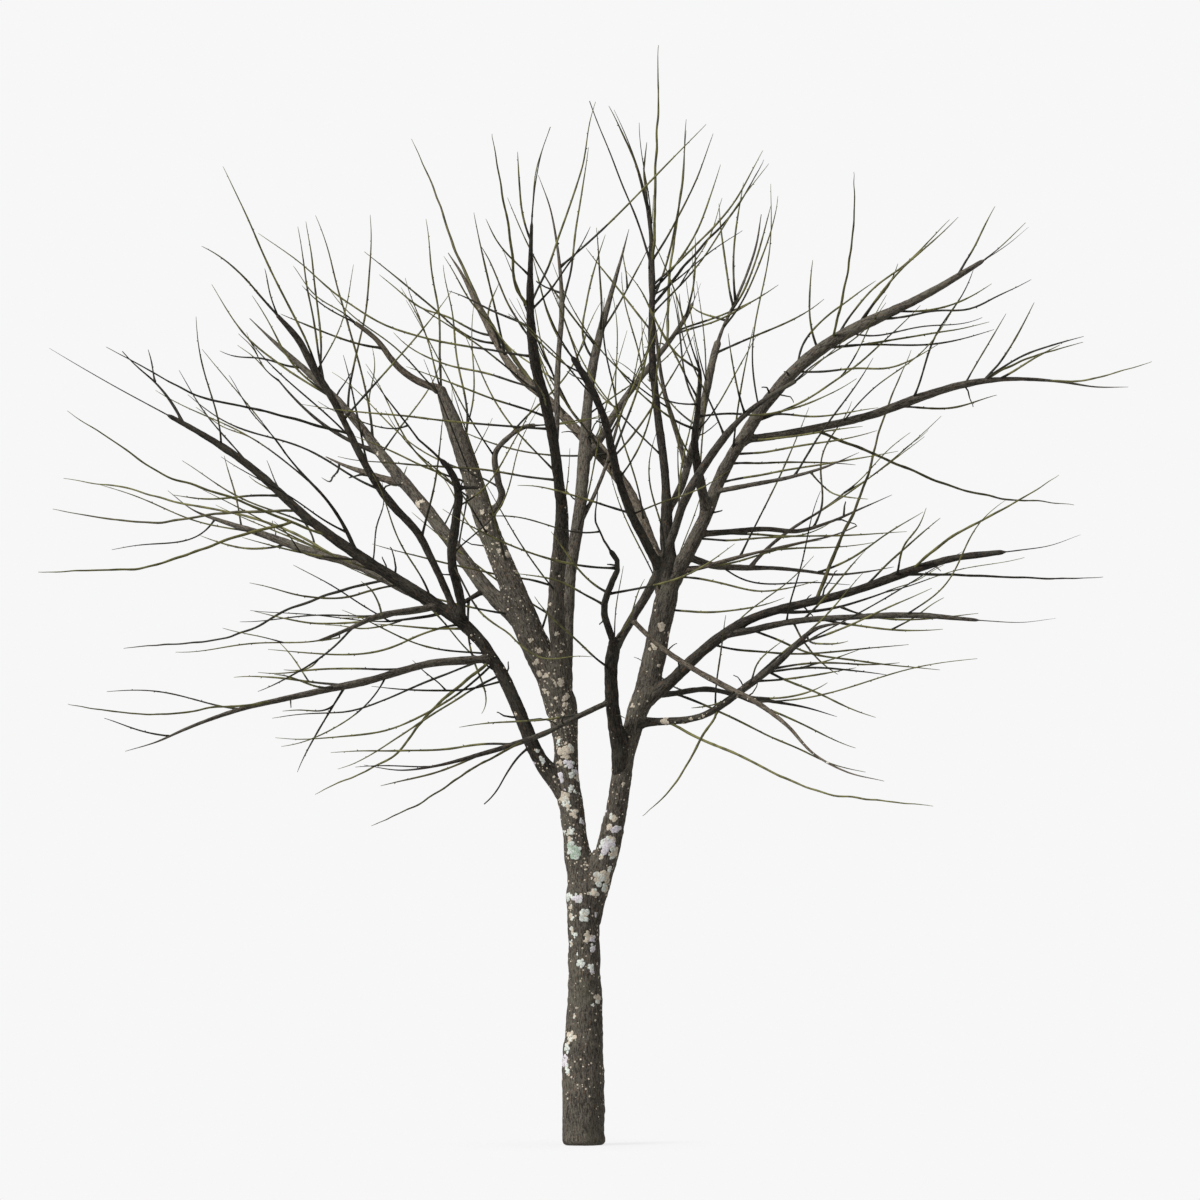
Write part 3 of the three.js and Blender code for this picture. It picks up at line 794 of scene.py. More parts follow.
# carried by, share of its length, run in metres, lean by steps, swing by steps, radius at foot and tip
# The last column is the bark tone; its dark tone is painted shade, near-black bark for boughs in shade.
SMALL_BOUGHS = (
    ("west_bough", 0.61, 0.80, (55, 40, -18, -10, -12, 30, 50, 56, 82), (-25, -10, 0), 0.027, 0.014, "grey"),
    ("west_bough", 0.985, 0.74, (-68, -66, -53, -40, -34, -50, -55), (10, 0, -5), 0.027, 0.014, "brown"),
    ("west_rear_bough", 0.13, 0.68, (-122, -118, -98, -97), (-15, -5), 0.016, 0.007, "dark"),
    ("east_bough", 0.06, 1.20, (78, 73, 77, 77, 79, 66), (-20, -5, 5), 0.015, 0.004, "brown"),
    ("east_leader", 0.66, 1.19, (-15, -18, -24, -20, -23, -20), (12, 4), 0.0080, 0.0030, "dark"),
    ("low_west_bough", 0.785, 0.62, (-27, -37, -51, -42), (12, 0), 0.011, 0.003, "dark"),
    ("low_west_bough", 0.10, 0.50, (-125, -145, -152, -132), (-15, -5), 0.008, 0.004, "dark"),
    ("rear_crossing_bough", 0.30, 0.90, (-20, -38, -45, -30, -20), (20, 8), 0.014, 0.006, "brown"),
    ("centre_rear_bough", 0.35, 0.95, (30, 22, 14, 20), (35, 15), 0.016, 0.007, "grey"),
    ("west_rear_bough", 0.55, 0.85, (-70, -60, -48, -40), (30, 12), 0.016, 0.006, "dark"),
    ("low_west_bough", 0.48, 0.80, (-20, -32, -45, -38), (-35, -15), 0.014, 0.006, "dark"),
    ("east_rear_arm", 0.30, 0.80, (40, 52, 60, 50), (30, 12), 0.014, 0.006, "grey"),
    ("low_east_bough", 0.35, 0.75, (95, 84, 74, 70), (32, 12), 0.013, 0.005, "dark"),
    ("east_rear_bough", 0.12, 1.35, (-12, -17, -17, -12, -6, -9, -7, -2), (8, 0), 0.019, 0.006, "grey"),
    ("low_west_riser", 0.47, 0.14, (85, 92), (0, 0), 0.012, 0.010, "dark"),
)


def walked_path(start, run, lean, swing):
    """A path of even steps, each one (sin lean, tan swing, cos lean) times the step, with the angles
    eased from one given value to the next."""
    at = np.linspace(0, 1, WALK_STEPS)
    lean = np.radians(np.interp(at, np.linspace(0, 1, len(lean)), lean))
    swing = np.radians(np.interp(at, np.linspace(0, 1, len(swing)), swing))
    moves = np.stack([np.sin(lean), np.tan(swing), np.cos(lean)], axis=1) * run / WALK_STEPS
    return start + np.vstack([np.zeros(3), np.cumsum(moves, axis=0)])


small_boughs = []
for number, (carrier, share, run, lean, swing, foot, tip, tone) in enumerate(SMALL_BOUGHS, 1):
    parent = limbs[carrier]
    axis = walked_path(parent.point(share * parent.length)[0], run, lean, swing)
    bough = Limb(f"small_bough_{number}", axis, np.linspace(foot, tip, len(axis)), carrier)
    limbs[bough.name] = bough
    small_boughs.append((bough, tone))
for tone in ("grey", "brown", "dark"):
    piece = Piece()
    for bough, own_tone in small_boughs:
        if own_tone == tone:
            skins[bough.name] = add_bark(piece, bough, SMALL_CELL, FEWEST_COLUMNS)
    piece.make("bark_small_boughs_" + tone, bark[tone], "bark")
print("small boughs:", len(small_boughs))

# %% [markdown]
# ## Shoots
# The crown is drawn by its shoots: slender, knobbly, of nearly even thickness, seldom branched and about
# a metre long. They leave the bough at 30 to 68 degrees and cross each other freely. Light pulls them
# gently outwards and up, and a slow wave is added across the heading, because each year's growth starts
# a little off the last one's. Low in the crown they spread level and not upwards. All the shoots are
# worked out at once: the loop below runs over steps along them, and moves them all together.

# %% Grow paths away from the heart of the crown
HEART = np.array([0.10, 0.0, 3.0])
CROWN_RADII = np.array([3.62, 2.95, 3.72])    # half sizes of the crown about its heart
CROWN_NEAR, CROWN_FAR = 12.0, 85.0            # degrees off a limb at which its reach fades, and is gone
PAST_LIMBS = 1.1                              # the crown ends at this many times the greatest reach
SHOOT_STEPS = 30
BOX_MARGIN = 0.012
BOX_LOW, BOX_HIGH = np.array(CAD_BOX[0]) + BOX_MARGIN, np.array(CAD_BOX[1]) - BOX_MARGIN
SINK_ALLOWED, RIGHTING = 0.05, 0.10           # a shoot that sinks faster than this turns up by this much
# what each shoot draws from: height, place and number of its waves, pull of the light outwards and up
WAVES, PHASES, CYCLES, PULLS, RISES = (0.06, 0.24), (0, 1), (0.6, 1.3), (0.004, 0.030), (0.1, 0.8)
TRIMS, TRIM_MARGIN, LEAST_LEFT = 3, 0.98, 0.15    # how a shoot is shortened until it stays in the crown
OUTER_FROM, REACH_STEP = 0.3, 0.08                # shares of the limbs that carry the crown, read in steps
crown = np.concatenate([limb.point(np.arange(OUTER_FROM * limb.length, limb.length, REACH_STEP))
                        for limb in limbs.values() if limb.name != "trunk"])
crown_out, crown_reach = unit(crown - HEART), np.linalg.norm(crown - HEART, axis=1)


def outside(points):
    """True where points are past the crown in their direction, or past the frame's box. The crown ends
    at an ellipsoid, or nearer: at PAST_LIMBS times the greatest reach of any limb, less a share for how
    far off the direction that limb is."""
    away = points - HEART
    distance = np.linalg.norm(away, axis=-1)
    angle = np.degrees(np.arccos(np.clip(unit(away) @ crown_out.T, -1, 1)))
    fade = 1 - np.clip((angle - CROWN_NEAR) / (CROWN_FAR - CROWN_NEAR), 0, 1)
    past_limbs = distance > PAST_LIMBS * np.max(crown_reach * fade, axis=-1)
    past_crown = np.linalg.norm(away / CROWN_RADII, axis=-1) > 1
    past_box = np.any((points < BOX_LOW) | (points > BOX_HIGH), axis=-1)
    return past_limbs | past_crown | past_box


def grown_paths(start, heading, length, wave, across, phase, cycles, pull, rise):
    """Steps of length / steps along the heading. It turns by a share `pull` towards the way out of the
    crown plus `rise` upwards, and away from pointing down. wave * sin(2 pi (cycles * t + phase)) *
    across is added to it."""
    points = [start]
    for t in np.linspace(0, 1, SHOOT_STEPS - 1):
        outward = unit(points[-1] - HEART)
        sinking = np.clip(-heading[:, 2:] - SINK_ALLOWED, 0, 1)
        heading = unit(heading + pull * unit(outward + rise * UP) + RIGHTING * sinking * UP)
        swing = wave * np.sin(2 * np.pi * (cycles * t + phase))
        points.append(points[-1] + unit(heading + swing * across) * length / (SHOOT_STEPS - 1))
    return np.stack(points, axis=1)


def grow(rng, start, heading, length):
    """Paths for shoots, each one shortened until its tip stays in the crown."""
    spans = (WAVES, PHASES, CYCLES, PULLS, RISES)
    wave, phase, cycles, pull, rise = (rng.uniform(*span, (len(start), 1)) for span in spans)
    across = unit(np.cross(heading, rng.normal(size=(len(start), 3))))
    length = length[:, None]
    for _ in range(TRIMS):
        paths = grown_paths(start, heading, length, wave, across, phase, cycles, pull, rise)
        out = outside(paths.reshape(-1, 3)).reshape(len(start), SHOOT_STEPS)
        inside_share = np.where(out.any(axis=1), out.argmax(axis=1) / SHOOT_STEPS, 1.0)[:, None]
        kept = np.maximum(inside_share * TRIM_MARGIN, LEAST_LEFT)
        length = length * np.where(inside_share < 1, kept, 1.0)
    return paths, length[:, 0]


# %% Where shoots spring from
SHOOT_SPACING = 0.24       # metres of bough for each shoot, where they stand at a density of 1
DENSITIES = {
    0.0: ("left_stem", "small_bough_7", "small_bough_15", "small_bough_5"),
    0.1: ("low_rear_arch",),
    0.15: ("low_crossing_west",),
    0.2: ("east_side_arm", "small_bough_4"),
    0.25: ("east_stem", "east_leader", "centre_slim_bough"),
    0.3: ("front_stem", "low_east_bough", "low_crossing_east", "small_bough_13", "east_rear_arm",
          "small_bough_12"),
    0.35: ("low_east_front", "centre_front_bough", "centre_rear_bough"),
    0.4: ("low_west_front", "east_front_arm", "small_bough_10"),
    0.45: ("low_west_riser", "west_front_bough"),
    0.5: ("low_east_arch", "front_east_bough", "east_level_bough", "small_bough_2"),
    0.6: ("front_riser", "east_bough", "east_rear_bough", "centre_rear_arm", "small_bough_8",
          "small_bough_9", "small_bough_14", "small_bough_11", "west_rear_bough", "rear_crossing_bough"),
    0.75: ("low_west_bough",),
    1.1: ("west_bough",),
}
DENSITY = {name: density for density, names in DENSITIES.items() for name in names}
BARE_FOOT = 0.15           # share of a bough, from its foot, that carries none
LEVEL_BELOW, FREE_ABOVE, LEAST_FREE = 2.4, 4.4, 0.2    # heights over which they go from level to any way
LIFT = 0.25                # how much more of them go up than down
LEAVE_ANGLES = (30, 68)    # degrees off the bough
STURDY = 0.0052            # they leave wood of at least this radius
LENGTHS, FEET = (0.80, 1.60), (0.0056, 0.0082)    # their length and the radius at their foot
LENGTH_AT_FOOT, LENGTH_LOST = 1.10, 0.40          # factor of the length at a bough's foot, lost to its end
SLIMMER, SEAT = 0.85, 0.55                        # in radii of the bough: thickest foot, and how far out
PAIR_END = 0.0050          # a limb that ends thicker than this goes on as a pair of shoots,
PAIR_LENGTHS, PAIR_FEET = (0.35, 1.0), (0.0042, 0.0066)
STUBS = ("west_rear_arm", "low_west_stub", "small_bough_15")    # if it is none of these
rng = np.random.default_rng(20)


def springs(rng, limb):
    """Even places along a limb, shaken a little, with a random direction round it, flattened low in the
    crown, and turned LEAVE_ANGLES off the limb's own heading."""
    count = int(round(DENSITY.get(limb.name, 1.0) * (1 - BARE_FOOT) * limb.length / SHOOT_SPACING))
    even = (np.arange(count) + rng.uniform(0.05, 0.95, count)) / max(count, 1)
    share = BARE_FOOT + (1 - BARE_FOOT) * even
    at = limb.length * share
    heading, place = limb.heading(at), limb.point(at)
    turned = rng.normal(size=(count, 3))
    freedom = np.clip((place[:, 2] - LEVEL_BELOW) / (FREE_ABOVE - LEVEL_BELOW), LEAST_FREE, 1)
    turned[:, 2] = turned[:, 2] * freedom + LIFT * freedom
    round_it = unit(turned - dot(turned, heading) * heading)
    angle = np.radians(rng.uniform(*LEAVE_ANGLES, (count, 1)))
    return share, at, unit(np.cos(angle) * heading + np.sin(angle) * round_it), place


groups = []
for limb in limbs.values():
    if limb.name in ("trunk", "right_stem") or limb.name.startswith("shoot_"):
        continue
    share, at, heading, place = springs(rng, limb)
    full = rng.uniform(*LENGTHS, len(at)) * (LENGTH_AT_FOOT - LENGTH_LOST * share)
    foot = np.minimum(rng.uniform(*FEET, len(at)), SLIMMER * limb.thickness(at))
    sturdy = limb.thickness(at) > STURDY
    place = place + heading * SEAT * limb.thickness(at)[:, None]
    groups.append([place[sturdy], heading[sturdy], full[sturdy], foot[sturdy]])
    if limb.name in (*BLUNT_ENDS, *STUBS) or limb.radius[-1] < PAIR_END:
        continue
    spread = rng.normal(size=(2, 3)) * np.array([[0.06], [0.30]])
    ends = np.repeat(limb.point(limb.length - 0.4 * limb.radius[-1]), 2, axis=0)
    slim = np.minimum(rng.uniform(*PAIR_FEET, 2), 0.8 * limb.radius[-1])
    groups.append([ends, unit(limb.heading(limb.length) + spread), rng.uniform(*PAIR_LENGTHS, 2), slim])
start, heading, length, base = (np.concatenate(column) for column in zip(*groups))
paths, length = grow(rng, start, heading, length)
print("shoots grown:", len(paths), "of mean length", round(length.mean(), 2), "m")

# %% Leading shoots
# The ones that give the crown its outline are walked one by one, as the small boughs are. Most of these
# rows stand as a scratch program printed them, from routes followed by eye, and weren't chosen by hand.
# carried by, then for each: share of the carrier's length, run in metres, swing, lean by steps
LEADING_SHOOTS = (
    ("west_front_bough", (0.78, 1.50, -12, -21, -27, -24, -24, -27)),
    ("west_rear_bough", (0.76, 1.09, 8, -9, -12, -6, -12)),
    ("west_front_bough", (0.79, 1.00, -20, 3, -6, -6, -6)),
    ("west_rear_bough", (0.58, 1.56, 5, -6, -15, -15, -15, -21), (0.68, 1.32, 12, 3, 12, 12, 3, -3)),
    ("west_rear_arm", (0.45, 0.80, -10, -5, -15, -12, -15)),
    ("centre_front_bough", (0.61, 1.99, 0, -81, -81, -66, -48, -54)),
    ("rear_crossing_bough", (0.77, 1.09, -10, -84, -45, -51, -51),
     (0.79, 0.86, 10, -81, -60, -72, -48, -48), (0.75, 0.74, -22, -15, -45, -30, -30)),
    ("west_bough", (0.99, 1.12, 0, 0, -6, -9), (0.80, 1.23, 15, 9, -12, -9, -6)),
    ("west_front_bough", (0.98, 0.70, -8, -42, -39, -48, -63)),
    ("west_rear_bough", (0.71, 1.17, 12, -57, -60, -51, -36, -33), (0.72, 0.89, -14, -57, -45, -27, -33)),
    ("centre_front_bough", (0.81, 0.57, -10, -24, -3, -3), (0.85, 0.58, 0, 3, 6, 18, 21)),
    ("centre_rear_bough", (0.66, 0.93, -10, -45, -33, -12, -15)),
    ("centre_front_bough", (0.70, 1.37, 8, 24, 21, 18, 15, 12)),
    ("centre_slim_bough", (0.52, 1.06, 12, 12, 9, 9, 9)),
    ("centre_front_bough", (0.69, 0.67, -18, 48, 33, 36, 27), (0.64, 0.70, 12, -39, -24, -27),
     (0.66, 0.60, 20, -62, -65, -72)),
    ("centre_rear_bough", (0.70, 0.88, 10, -36, 12, 15, 18), (0.76, 0.70, -8, 3, -3, -6),
     (0.76, 0.69, 15, 33, 27, 27)),
    ("east_leader", (0.78, 0.74, -6, -15, -15, -24, -30), (0.79, 0.43, 10, -3, -9, 6, 6),
     (0.68, 0.92, -15, 33, 24, 21), (0.60, 1.22, 10, 24, 12, 6, 3), (0.62, 0.95, 5, 45, 33, 18, 18),
     (0.63, 1.14, -8, 48, 42, 27)),
    ("east_rear_bough", (0.68, 0.69, 8, -12, -6, -6), (0.70, 0.79, -12, -6, 6, 9),
     (0.66, 0.75, 0, 35, 22, 15, 14), (0.60, 0.95, -20, 40, 25, 20, 3)),
    ("centre_rear_arm", (0.91, 0.36, 0, -3, 0), (0.80, 0.55, -15, 20, 4, -2)),
    ("east_bough", (0.50, 0.80, 15, 10, 40, 55, 58), (0.55, 0.60, -12, -20, 0, 8),
     (0.59, 1.09, 6, 27, 42, 57, 42, 45), (0.63, 1.00, -6, 33, 42, 48, 45), (0.64, 0.49, 15, 24, 45, 18),
     (0.84, 0.53, 10, 33, 27, 27), (0.90, 0.37, -10, 51, 48, 45), (0.67, 1.05, -10, 87, 75, 93, 63, 63),
     (0.56, 1.10, 12, 87, 78, 84, 78), (0.49, 0.99, -15, 90, 84, 93, 66, 60),
     (0.37, 1.34, -4, 72, 57, 48, 45)),
    ("east_level_bough", (0.63, 0.61, 10, 39, 33, 27), (0.63, 0.73, -8, 51, 72, 72),
     (0.67, 0.46, 0, 60, 63), (0.40, 0.67, 15, 96, 84, 75)),
    ("low_west_riser", (0.20, 1.19, -14, 152, 152, 143, 121, 137, 112, 80, 92)),
    ("low_west_bough", (0.24, 1.50, 12, -114, -108, -117, -93, -96),
     (0.23, 1.55, -8, -135, -120, -111, -93, -90), (0.21, 1.24, 15, -120, -120, -123, -123, -111),
     (0.20, 0.88, -16, -108, -93, -84, -87)),
    ("low_crossing_west", (0.40, 1.18, 6, -87, -99, -90, -93, -93), (0.53, 0.67, -8, -114, -108, -102),
     (0.11, 0.82, 20, -99, -96, -93, -99)),
    ("low_west_front", (0.40, 0.64, -10, -150, -150, -159), (0.39, 0.75, 15, -87, -81, -92)),
    ("low_west_stub", (0.30, 0.96, -8, -111, -93, -81, -78)),
    ("low_west_bough", (0.34, 0.65, 22, -105, -93, -90), (0.29, 0.60, -20, -93, -87, -84)),
    ("low_west_stub", (0.70, 0.74, 12, -138, -123, -111)),
    ("east_side_arm", (0.04, 1.31, 8, 87, 96, 90, 87, 87)),
    ("east_bough", (0.13, 0.92, -12, 90, 90, 87, 57), (0.07, 0.94, 16, 87, 78, 75, 81),
     (0.06, 1.30, -8, 75, 75, 84, 90, 81)),
    ("east_leader", (0.05, 0.98, -14, 93, 105, 87, 75)),
    ("east_stem", (0.83, 0.80, -18, 99, 84, 69)),
    ("low_east_front", (0.29, 0.79, -10, 102, 96, 84)),
    ("low_east_arch", (0.77, 0.93, -6, 72, 66, 66, 66)),
    ("low_east_bough", (0.20, 1.30, 14, 102, 96, 87, 84, 84)),
    ("low_east_front", (0.09, 1.25, 12, 114, 108, 99, 96, 93)),
    ("low_east_arch", (0.60, 0.74, -8, 120, 111, 108), (0.59, 0.79, 12, 81, 93, 99),
     (0.61, 0.83, -15, 78, 87, 93, 84), (0.53, 0.67, 18, 90, 81, 81)),
    ("low_rear_arch", (0.14, 1.36, 8, 111, 114, 117, 114, 102), (0.43, 0.86, -6, 114, 114, 117, 108)),
    ("low_crossing_east", (0.43, 0.55, -10, 105, 80, 60)),
    ("low_east_front", (0.21, 0.46, -12, 153, 126), (0.24, 0.59, -10, 39, 45)),
    ("low_east_bough", (0.54, 0.68, 6, 45, 48, 51)),
    ("low_east_arch", (0.48, 1.07, -4, 45, 48, 48, 45, 42)),
    ("centre_front_bough", (0.39, 1.45, 10, -84, -81, -87, -84, -81),
     (0.48, 1.60, -6, -87, -84, -84, -87, -81), (0.55, 1.04, 14, -72, -75, -78, -66, -45),
     (0.50, 0.97, -18, -69, -72, -69, -72)),
    ("centre_rear_bough", (0.23, 1.32, -10, -75, -78, -78, -75, -75)),
    ("east_bough", (0.33, 0.79, -16, 87, 81, 84), (0.28, 0.83, 14, 87, 87, 90, 96),
     (0.24, 1.19, -8, 78, 78, 81, 81, 81)),
    ("inner_front_bough", (0.52, 1.08, 5, 84, 96, 75, 66, 60), (0.79, 0.80, -6, -52, -42, -30, -25, -40)),
    ("low_west_bough", (0.40, 1.02, -14, -94, -112, -84, -80, -78)),
    ("low_west_front", (0.22, 0.98, -10, -92, -88, -92, -98, -84)),
    ("low_west_bough", (0.30, 1.30, -8, -100, -118, -96, -84, -86)),
    ("east_bough", (0.30, 0.95, -12, 86, 78, 84, 74), (0.38, 0.80, -6, 82, 94, 84, 78)),
    ("west_bough", (0.70, 0.85, -10, -62, -72, -64, -70)),
    ("inner_front_bough", (0.62, 0.66, -14, -29, -24, -32, -35)),
    ("centre_rear_arm", (0.72, 0.75, 10, 68, 70, 66, 55), (0.70, 0.66, -6, 70, 71, 62, 58)),
    ("front_riser", (0.24, 0.62, -8, -58, -62, -78, -85), (0.31, 0.55, -16, -62, -42, -33, -38)),
    ("front_crossing_bough", (0.17, 0.75, -6, -72, -72, -78, -85)),
)

# %% Walk the leading shoots
LEADING_FOOT, THINNER_THAN_CARRIER = 0.0078, 0.9    # radius at the foot, and its most in carrier radii
SWAY_DEPTH, SWAY_SIZE, SWAY_STEPS = 0.016, 0.30, 6  # they sway this much, over this size, past these steps
SWING_LEFT = 0.3                                    # share of the swing that is left at the tip


def sway(points, size, seed):
    """Three noises of the place over the size, one for each direction."""
    return np.stack([noise(points / size, seed + axis) for axis in range(3)], axis=-1)


leading, leading_length, leading_base = [], [], []
for carrier, *rows in LEADING_SHOOTS:
    parent = limbs[carrier]
    for share, run, swing, *lean in rows:
        foot = parent.point(share * parent.length)[0]
        shoot = Limb("leading", walked_path(foot, run, lean, (swing, SWING_LEFT * swing)), None)
        leading.append(shoot.point(np.linspace(0, shoot.length, SHOOT_STEPS)))
        leading_length.append(shoot.length)
        leading_base.append(min(LEADING_FOOT, THINNER_THAN_CARRIER * parent.thickness(share * parent.length)))
leading = np.array(leading)
fade_in = np.clip(np.arange(SHOOT_STEPS) / SWAY_STEPS, 0, 1)[:, None]
leading += SWAY_DEPTH * fade_in * sway(leading, SWAY_SIZE, 40)
paths = np.concatenate([paths, leading])
length = np.concatenate([length, leading_length])
base = np.concatenate([base, leading_base])
print("leading shoots:", len(leading))

# %% Side shoots
SIDE_SHARE = 0.07                  # shoots that carry a side shoot
FORK_STEPS = (6, 18)               # steps along the shoot at which it may leave
ASIDE, UPWARDS = 0.7, 0.4          # how much it turns aside, and how much of that is upwards at most
SIDE_LENGTHS, SIDE_FOOT = (0.35, 0.6), 0.72      # its length and its foot, in those of the shoot
SHORTEST = 0.18
side_of = rng.choice(len(paths), int(SIDE_SHARE * len(paths)), replace=False)
fork_step = rng.integers(*FORK_STEPS, len(side_of))
side_start = paths[side_of, fork_step]
level = unit(rng.normal(size=(len(side_of), 3))) * [1, 1, 0]
aside = level + abs(rng.normal(size=(len(side_of), 1))) * UPWARDS * UP
side_heading = unit(paths[side_of, fork_step + 1] - side_start) + ASIDE * aside
side_length = length[side_of] * rng.uniform(*SIDE_LENGTHS, len(side_of))
side_paths, side_length = grow(rng, side_start, unit(side_heading), side_length)
paths = np.concatenate([paths, side_paths])
length = np.concatenate([length, side_length])
base = np.concatenate([base, SIDE_FOOT * base[side_of]])
long_enough = length > SHORTEST
paths, length, base = paths[long_enough], length[long_enough], base[long_enough]
print("shoots in all:", len(paths), "of mean length", round(length.mean(), 2), "m")

# %% [markdown]
# ## Dressing the shoots
# A shoot is thickest in a collar at its foot, then almost even, and it narrows only near the tip. Every
# few centimetres there is a slight knob, as an old bud leaves it. The bark of the first part is older and
# darker than the olive or brown skin further out, so each shoot is two tubes end to end.

# %% Young bark
SHOOT_TONES = {"olive": (0.200, 0.190, 0.066), "brown": (0.120, 0.108, 0.040), "dark": (0.040, 0.036, 0.020)}
SHADE = 0.42           # the darker patches have this share of the tone


def shoot_finish(name, colour):
    finish = Finish("young_bark_" + name)
    place = finish.object_place()
    patch = finish.mottle(place, 14.0, 3.0, 0.6)
    grain = finish.mottle(place, 170.0, 2.0, 0.6)
    dark = tuple(SHADE * channel for channel in colour)
    tone = finish.mixed((0.7 * patch + 0.3 * grain).above(0.40, 0.60), dark, colour)
    return finish.surface(tone, 0.5 + 0.2 * grain, finish.bump(grain, 0.0012), 0.3)


young = {name: shoot_finish(name, colour) for name, colour in SHOOT_TONES.items()}

# %% Tubes for the shoots, by tone
TONE_SHARES = (0.60, 0.26, 0.14)
CHANGES = (4, 6, 9)                       # steps after which the old dark bark may end
SHOOT_SIDES = 6
THINNING, KNOBS, KNOB_SIZE = 0.36, 0.16, 0.030
FOOT_SWELL, FOOT_RUN = 0.55, 0.025
TIP, TIP_SHARE, TIP_POWER = 0.0014, 0.32, 0.7      # radius at the tip, and how the shoot narrows to it


def shoot_radii(paths, length, base):
    """base * (1 - THINNING * t) with a collar of exp(-s / FOOT_RUN) and knobs of noise, which runs out
    over the last part to a tip as fine as a hair."""
    t = np.linspace(0, 1, paths.shape[1])[None]
    body = base[:, None] * (1 - THINNING * t)
    knobs = 1 + KNOBS * noise(paths / KNOB_SIZE, 11)
    collar = 1 + FOOT_SWELL * np.exp(-t * length[:, None] / FOOT_RUN)
    narrow = np.clip((1 - t) / TIP_SHARE, 0, 1) ** TIP_POWER
    return TIP + (body * knobs * collar - TIP) * narrow


thickness = shoot_radii(paths, length, base)
tone_of = rng.choice(len(TONE_SHARES), len(paths), p=TONE_SHARES)
change_at = rng.choice(CHANGES, len(paths))
pieces = {name: Piece() for name in SHOOT_TONES}
for number, name in enumerate(SHOOT_TONES):
    for change in CHANGES:
        chosen = (tone_of == number) & (change_at == change)
        pieces["dark"].add_tubes(paths[chosen, :change + 1], thickness[chosen, :change + 1], SHOOT_SIDES)
        pieces[name].add_tubes(paths[chosen, change:], thickness[chosen, change:], SHOOT_SIDES)
for name, piece in pieces.items():
    piece.make("shoots_" + name, young[name], "young_bark")
    print("shoots", name, piece.triangles(), "triangles")

# %% The frame's own long shoots
LONG_ORDER = ("olive", "olive", "brown", "olive", "dark")     # their tones, over and over
LONG_STEPS, LONG_SIDES = 60, 10
LONG_SWAY, LONG_SWAY_SIZE, LONG_KNOB_SIZE = 0.006, 0.12, 0.035
for name in SHOOT_TONES:
    group = [limb for i, limb in enumerate(shoots) if LONG_ORDER[i % len(LONG_ORDER)] == name]
    at = [np.linspace(0, limb.length, LONG_STEPS) for limb in group]
    long_paths = np.stack([limb.point(spots) for limb, spots in zip(group, at)])
    long_paths[:, 3:-1] += LONG_SWAY * sway(long_paths[:, 3:-1], LONG_SWAY_SIZE, 30)
    long_radii = np.stack([limb.thickness(spots) for limb, spots in zip(group, at)])
    long_radii *= 1 + KNOBS * noise(long_paths / LONG_KNOB_SIZE, 12)
    piece = Piece()
    piece.add_tubes(long_paths, long_radii, LONG_SIDES)
    piece.make("long_shoots_" + name, young[name], "young_bark", [limb.name for limb in group])
print("long shoots:", len(shoots))

# %% [markdown]
# ## Dead spurs
# Between the living shoots stand short dead stubs: dark, kinked at every old bud, and snapped off blunt.
# They break up the smooth lines of the boughs.

# %% Spurs
SPUR_COUNT, SPUR_STEPS = 56, 13
SPUR_LENGTHS, SPUR_RADII = (0.06, 0.24), (0.0042, 0.0070)
SPUR_PLACES, SPUR_TAPER = (0.12, 0.75), (1.15, 0.55)     # shares of the bough; factors of the radius
KINK_EVERY, KINK = 4, 0.42          # steps from kink to kink, and how far a kink turns aside
bough_names = [limb.name for limb in thick_limbs if limb.name not in ("trunk", "left_stem", "right_stem")]
carrier_run = np.array([limbs[name].length for name in bough_names])
carrier = rng.choice(len(bough_names), SPUR_COUNT, p=carrier_run / carrier_run.sum())
spur_start, spur_heading = [], []
for number in carrier:
    limb = limbs[bough_names[number]]
    at = rng.uniform(*SPUR_PLACES) * limb.length
    along = limb.heading(at)[0]
    out = rng.normal(size=3)
    out = unit(out - dot(out, along) * along)
    spur_start.append(limb.point(at)[0] + 0.6 * limb.thickness(at) * out)
    spur_heading.append(unit(0.5 * along + out))
spur_heading = np.array(spur_heading)
spur_length = rng.uniform(*SPUR_LENGTHS, (SPUR_COUNT, 1))
points = [np.array(spur_start)]
for step in range(1, SPUR_STEPS):
    if step % KINK_EVERY == 0:
        spur_heading = unit(spur_heading + KINK * unit(rng.normal(size=(SPUR_COUNT, 3))))
    points.append(points[-1] + spur_heading * spur_length / SPUR_STEPS)
spur_paths = np.stack(points, axis=1)
spur_radii = rng.uniform(*SPUR_RADII, (SPUR_COUNT, 1)) * np.linspace(*SPUR_TAPER, SPUR_STEPS)
spur_radii = spur_radii * (1 + 0.12 * noise(spur_paths / 0.02, 13))
piece = Piece()
piece.add_tubes(spur_paths, spur_radii, SHOOT_SIDES)
piece.make("dead_spurs", young["dark"], "young_bark")
print("spurs:", SPUR_COUNT)

# %% [markdown]
# ## Buds
# In winter the buds are what gives a shoot its knots. They sit one after another round the shoot, each
# turned on by the golden angle, and lean out from it. A bud is a short closed tube that swells and then
# narrows to its tip. There are thousands, so each has very few faces.

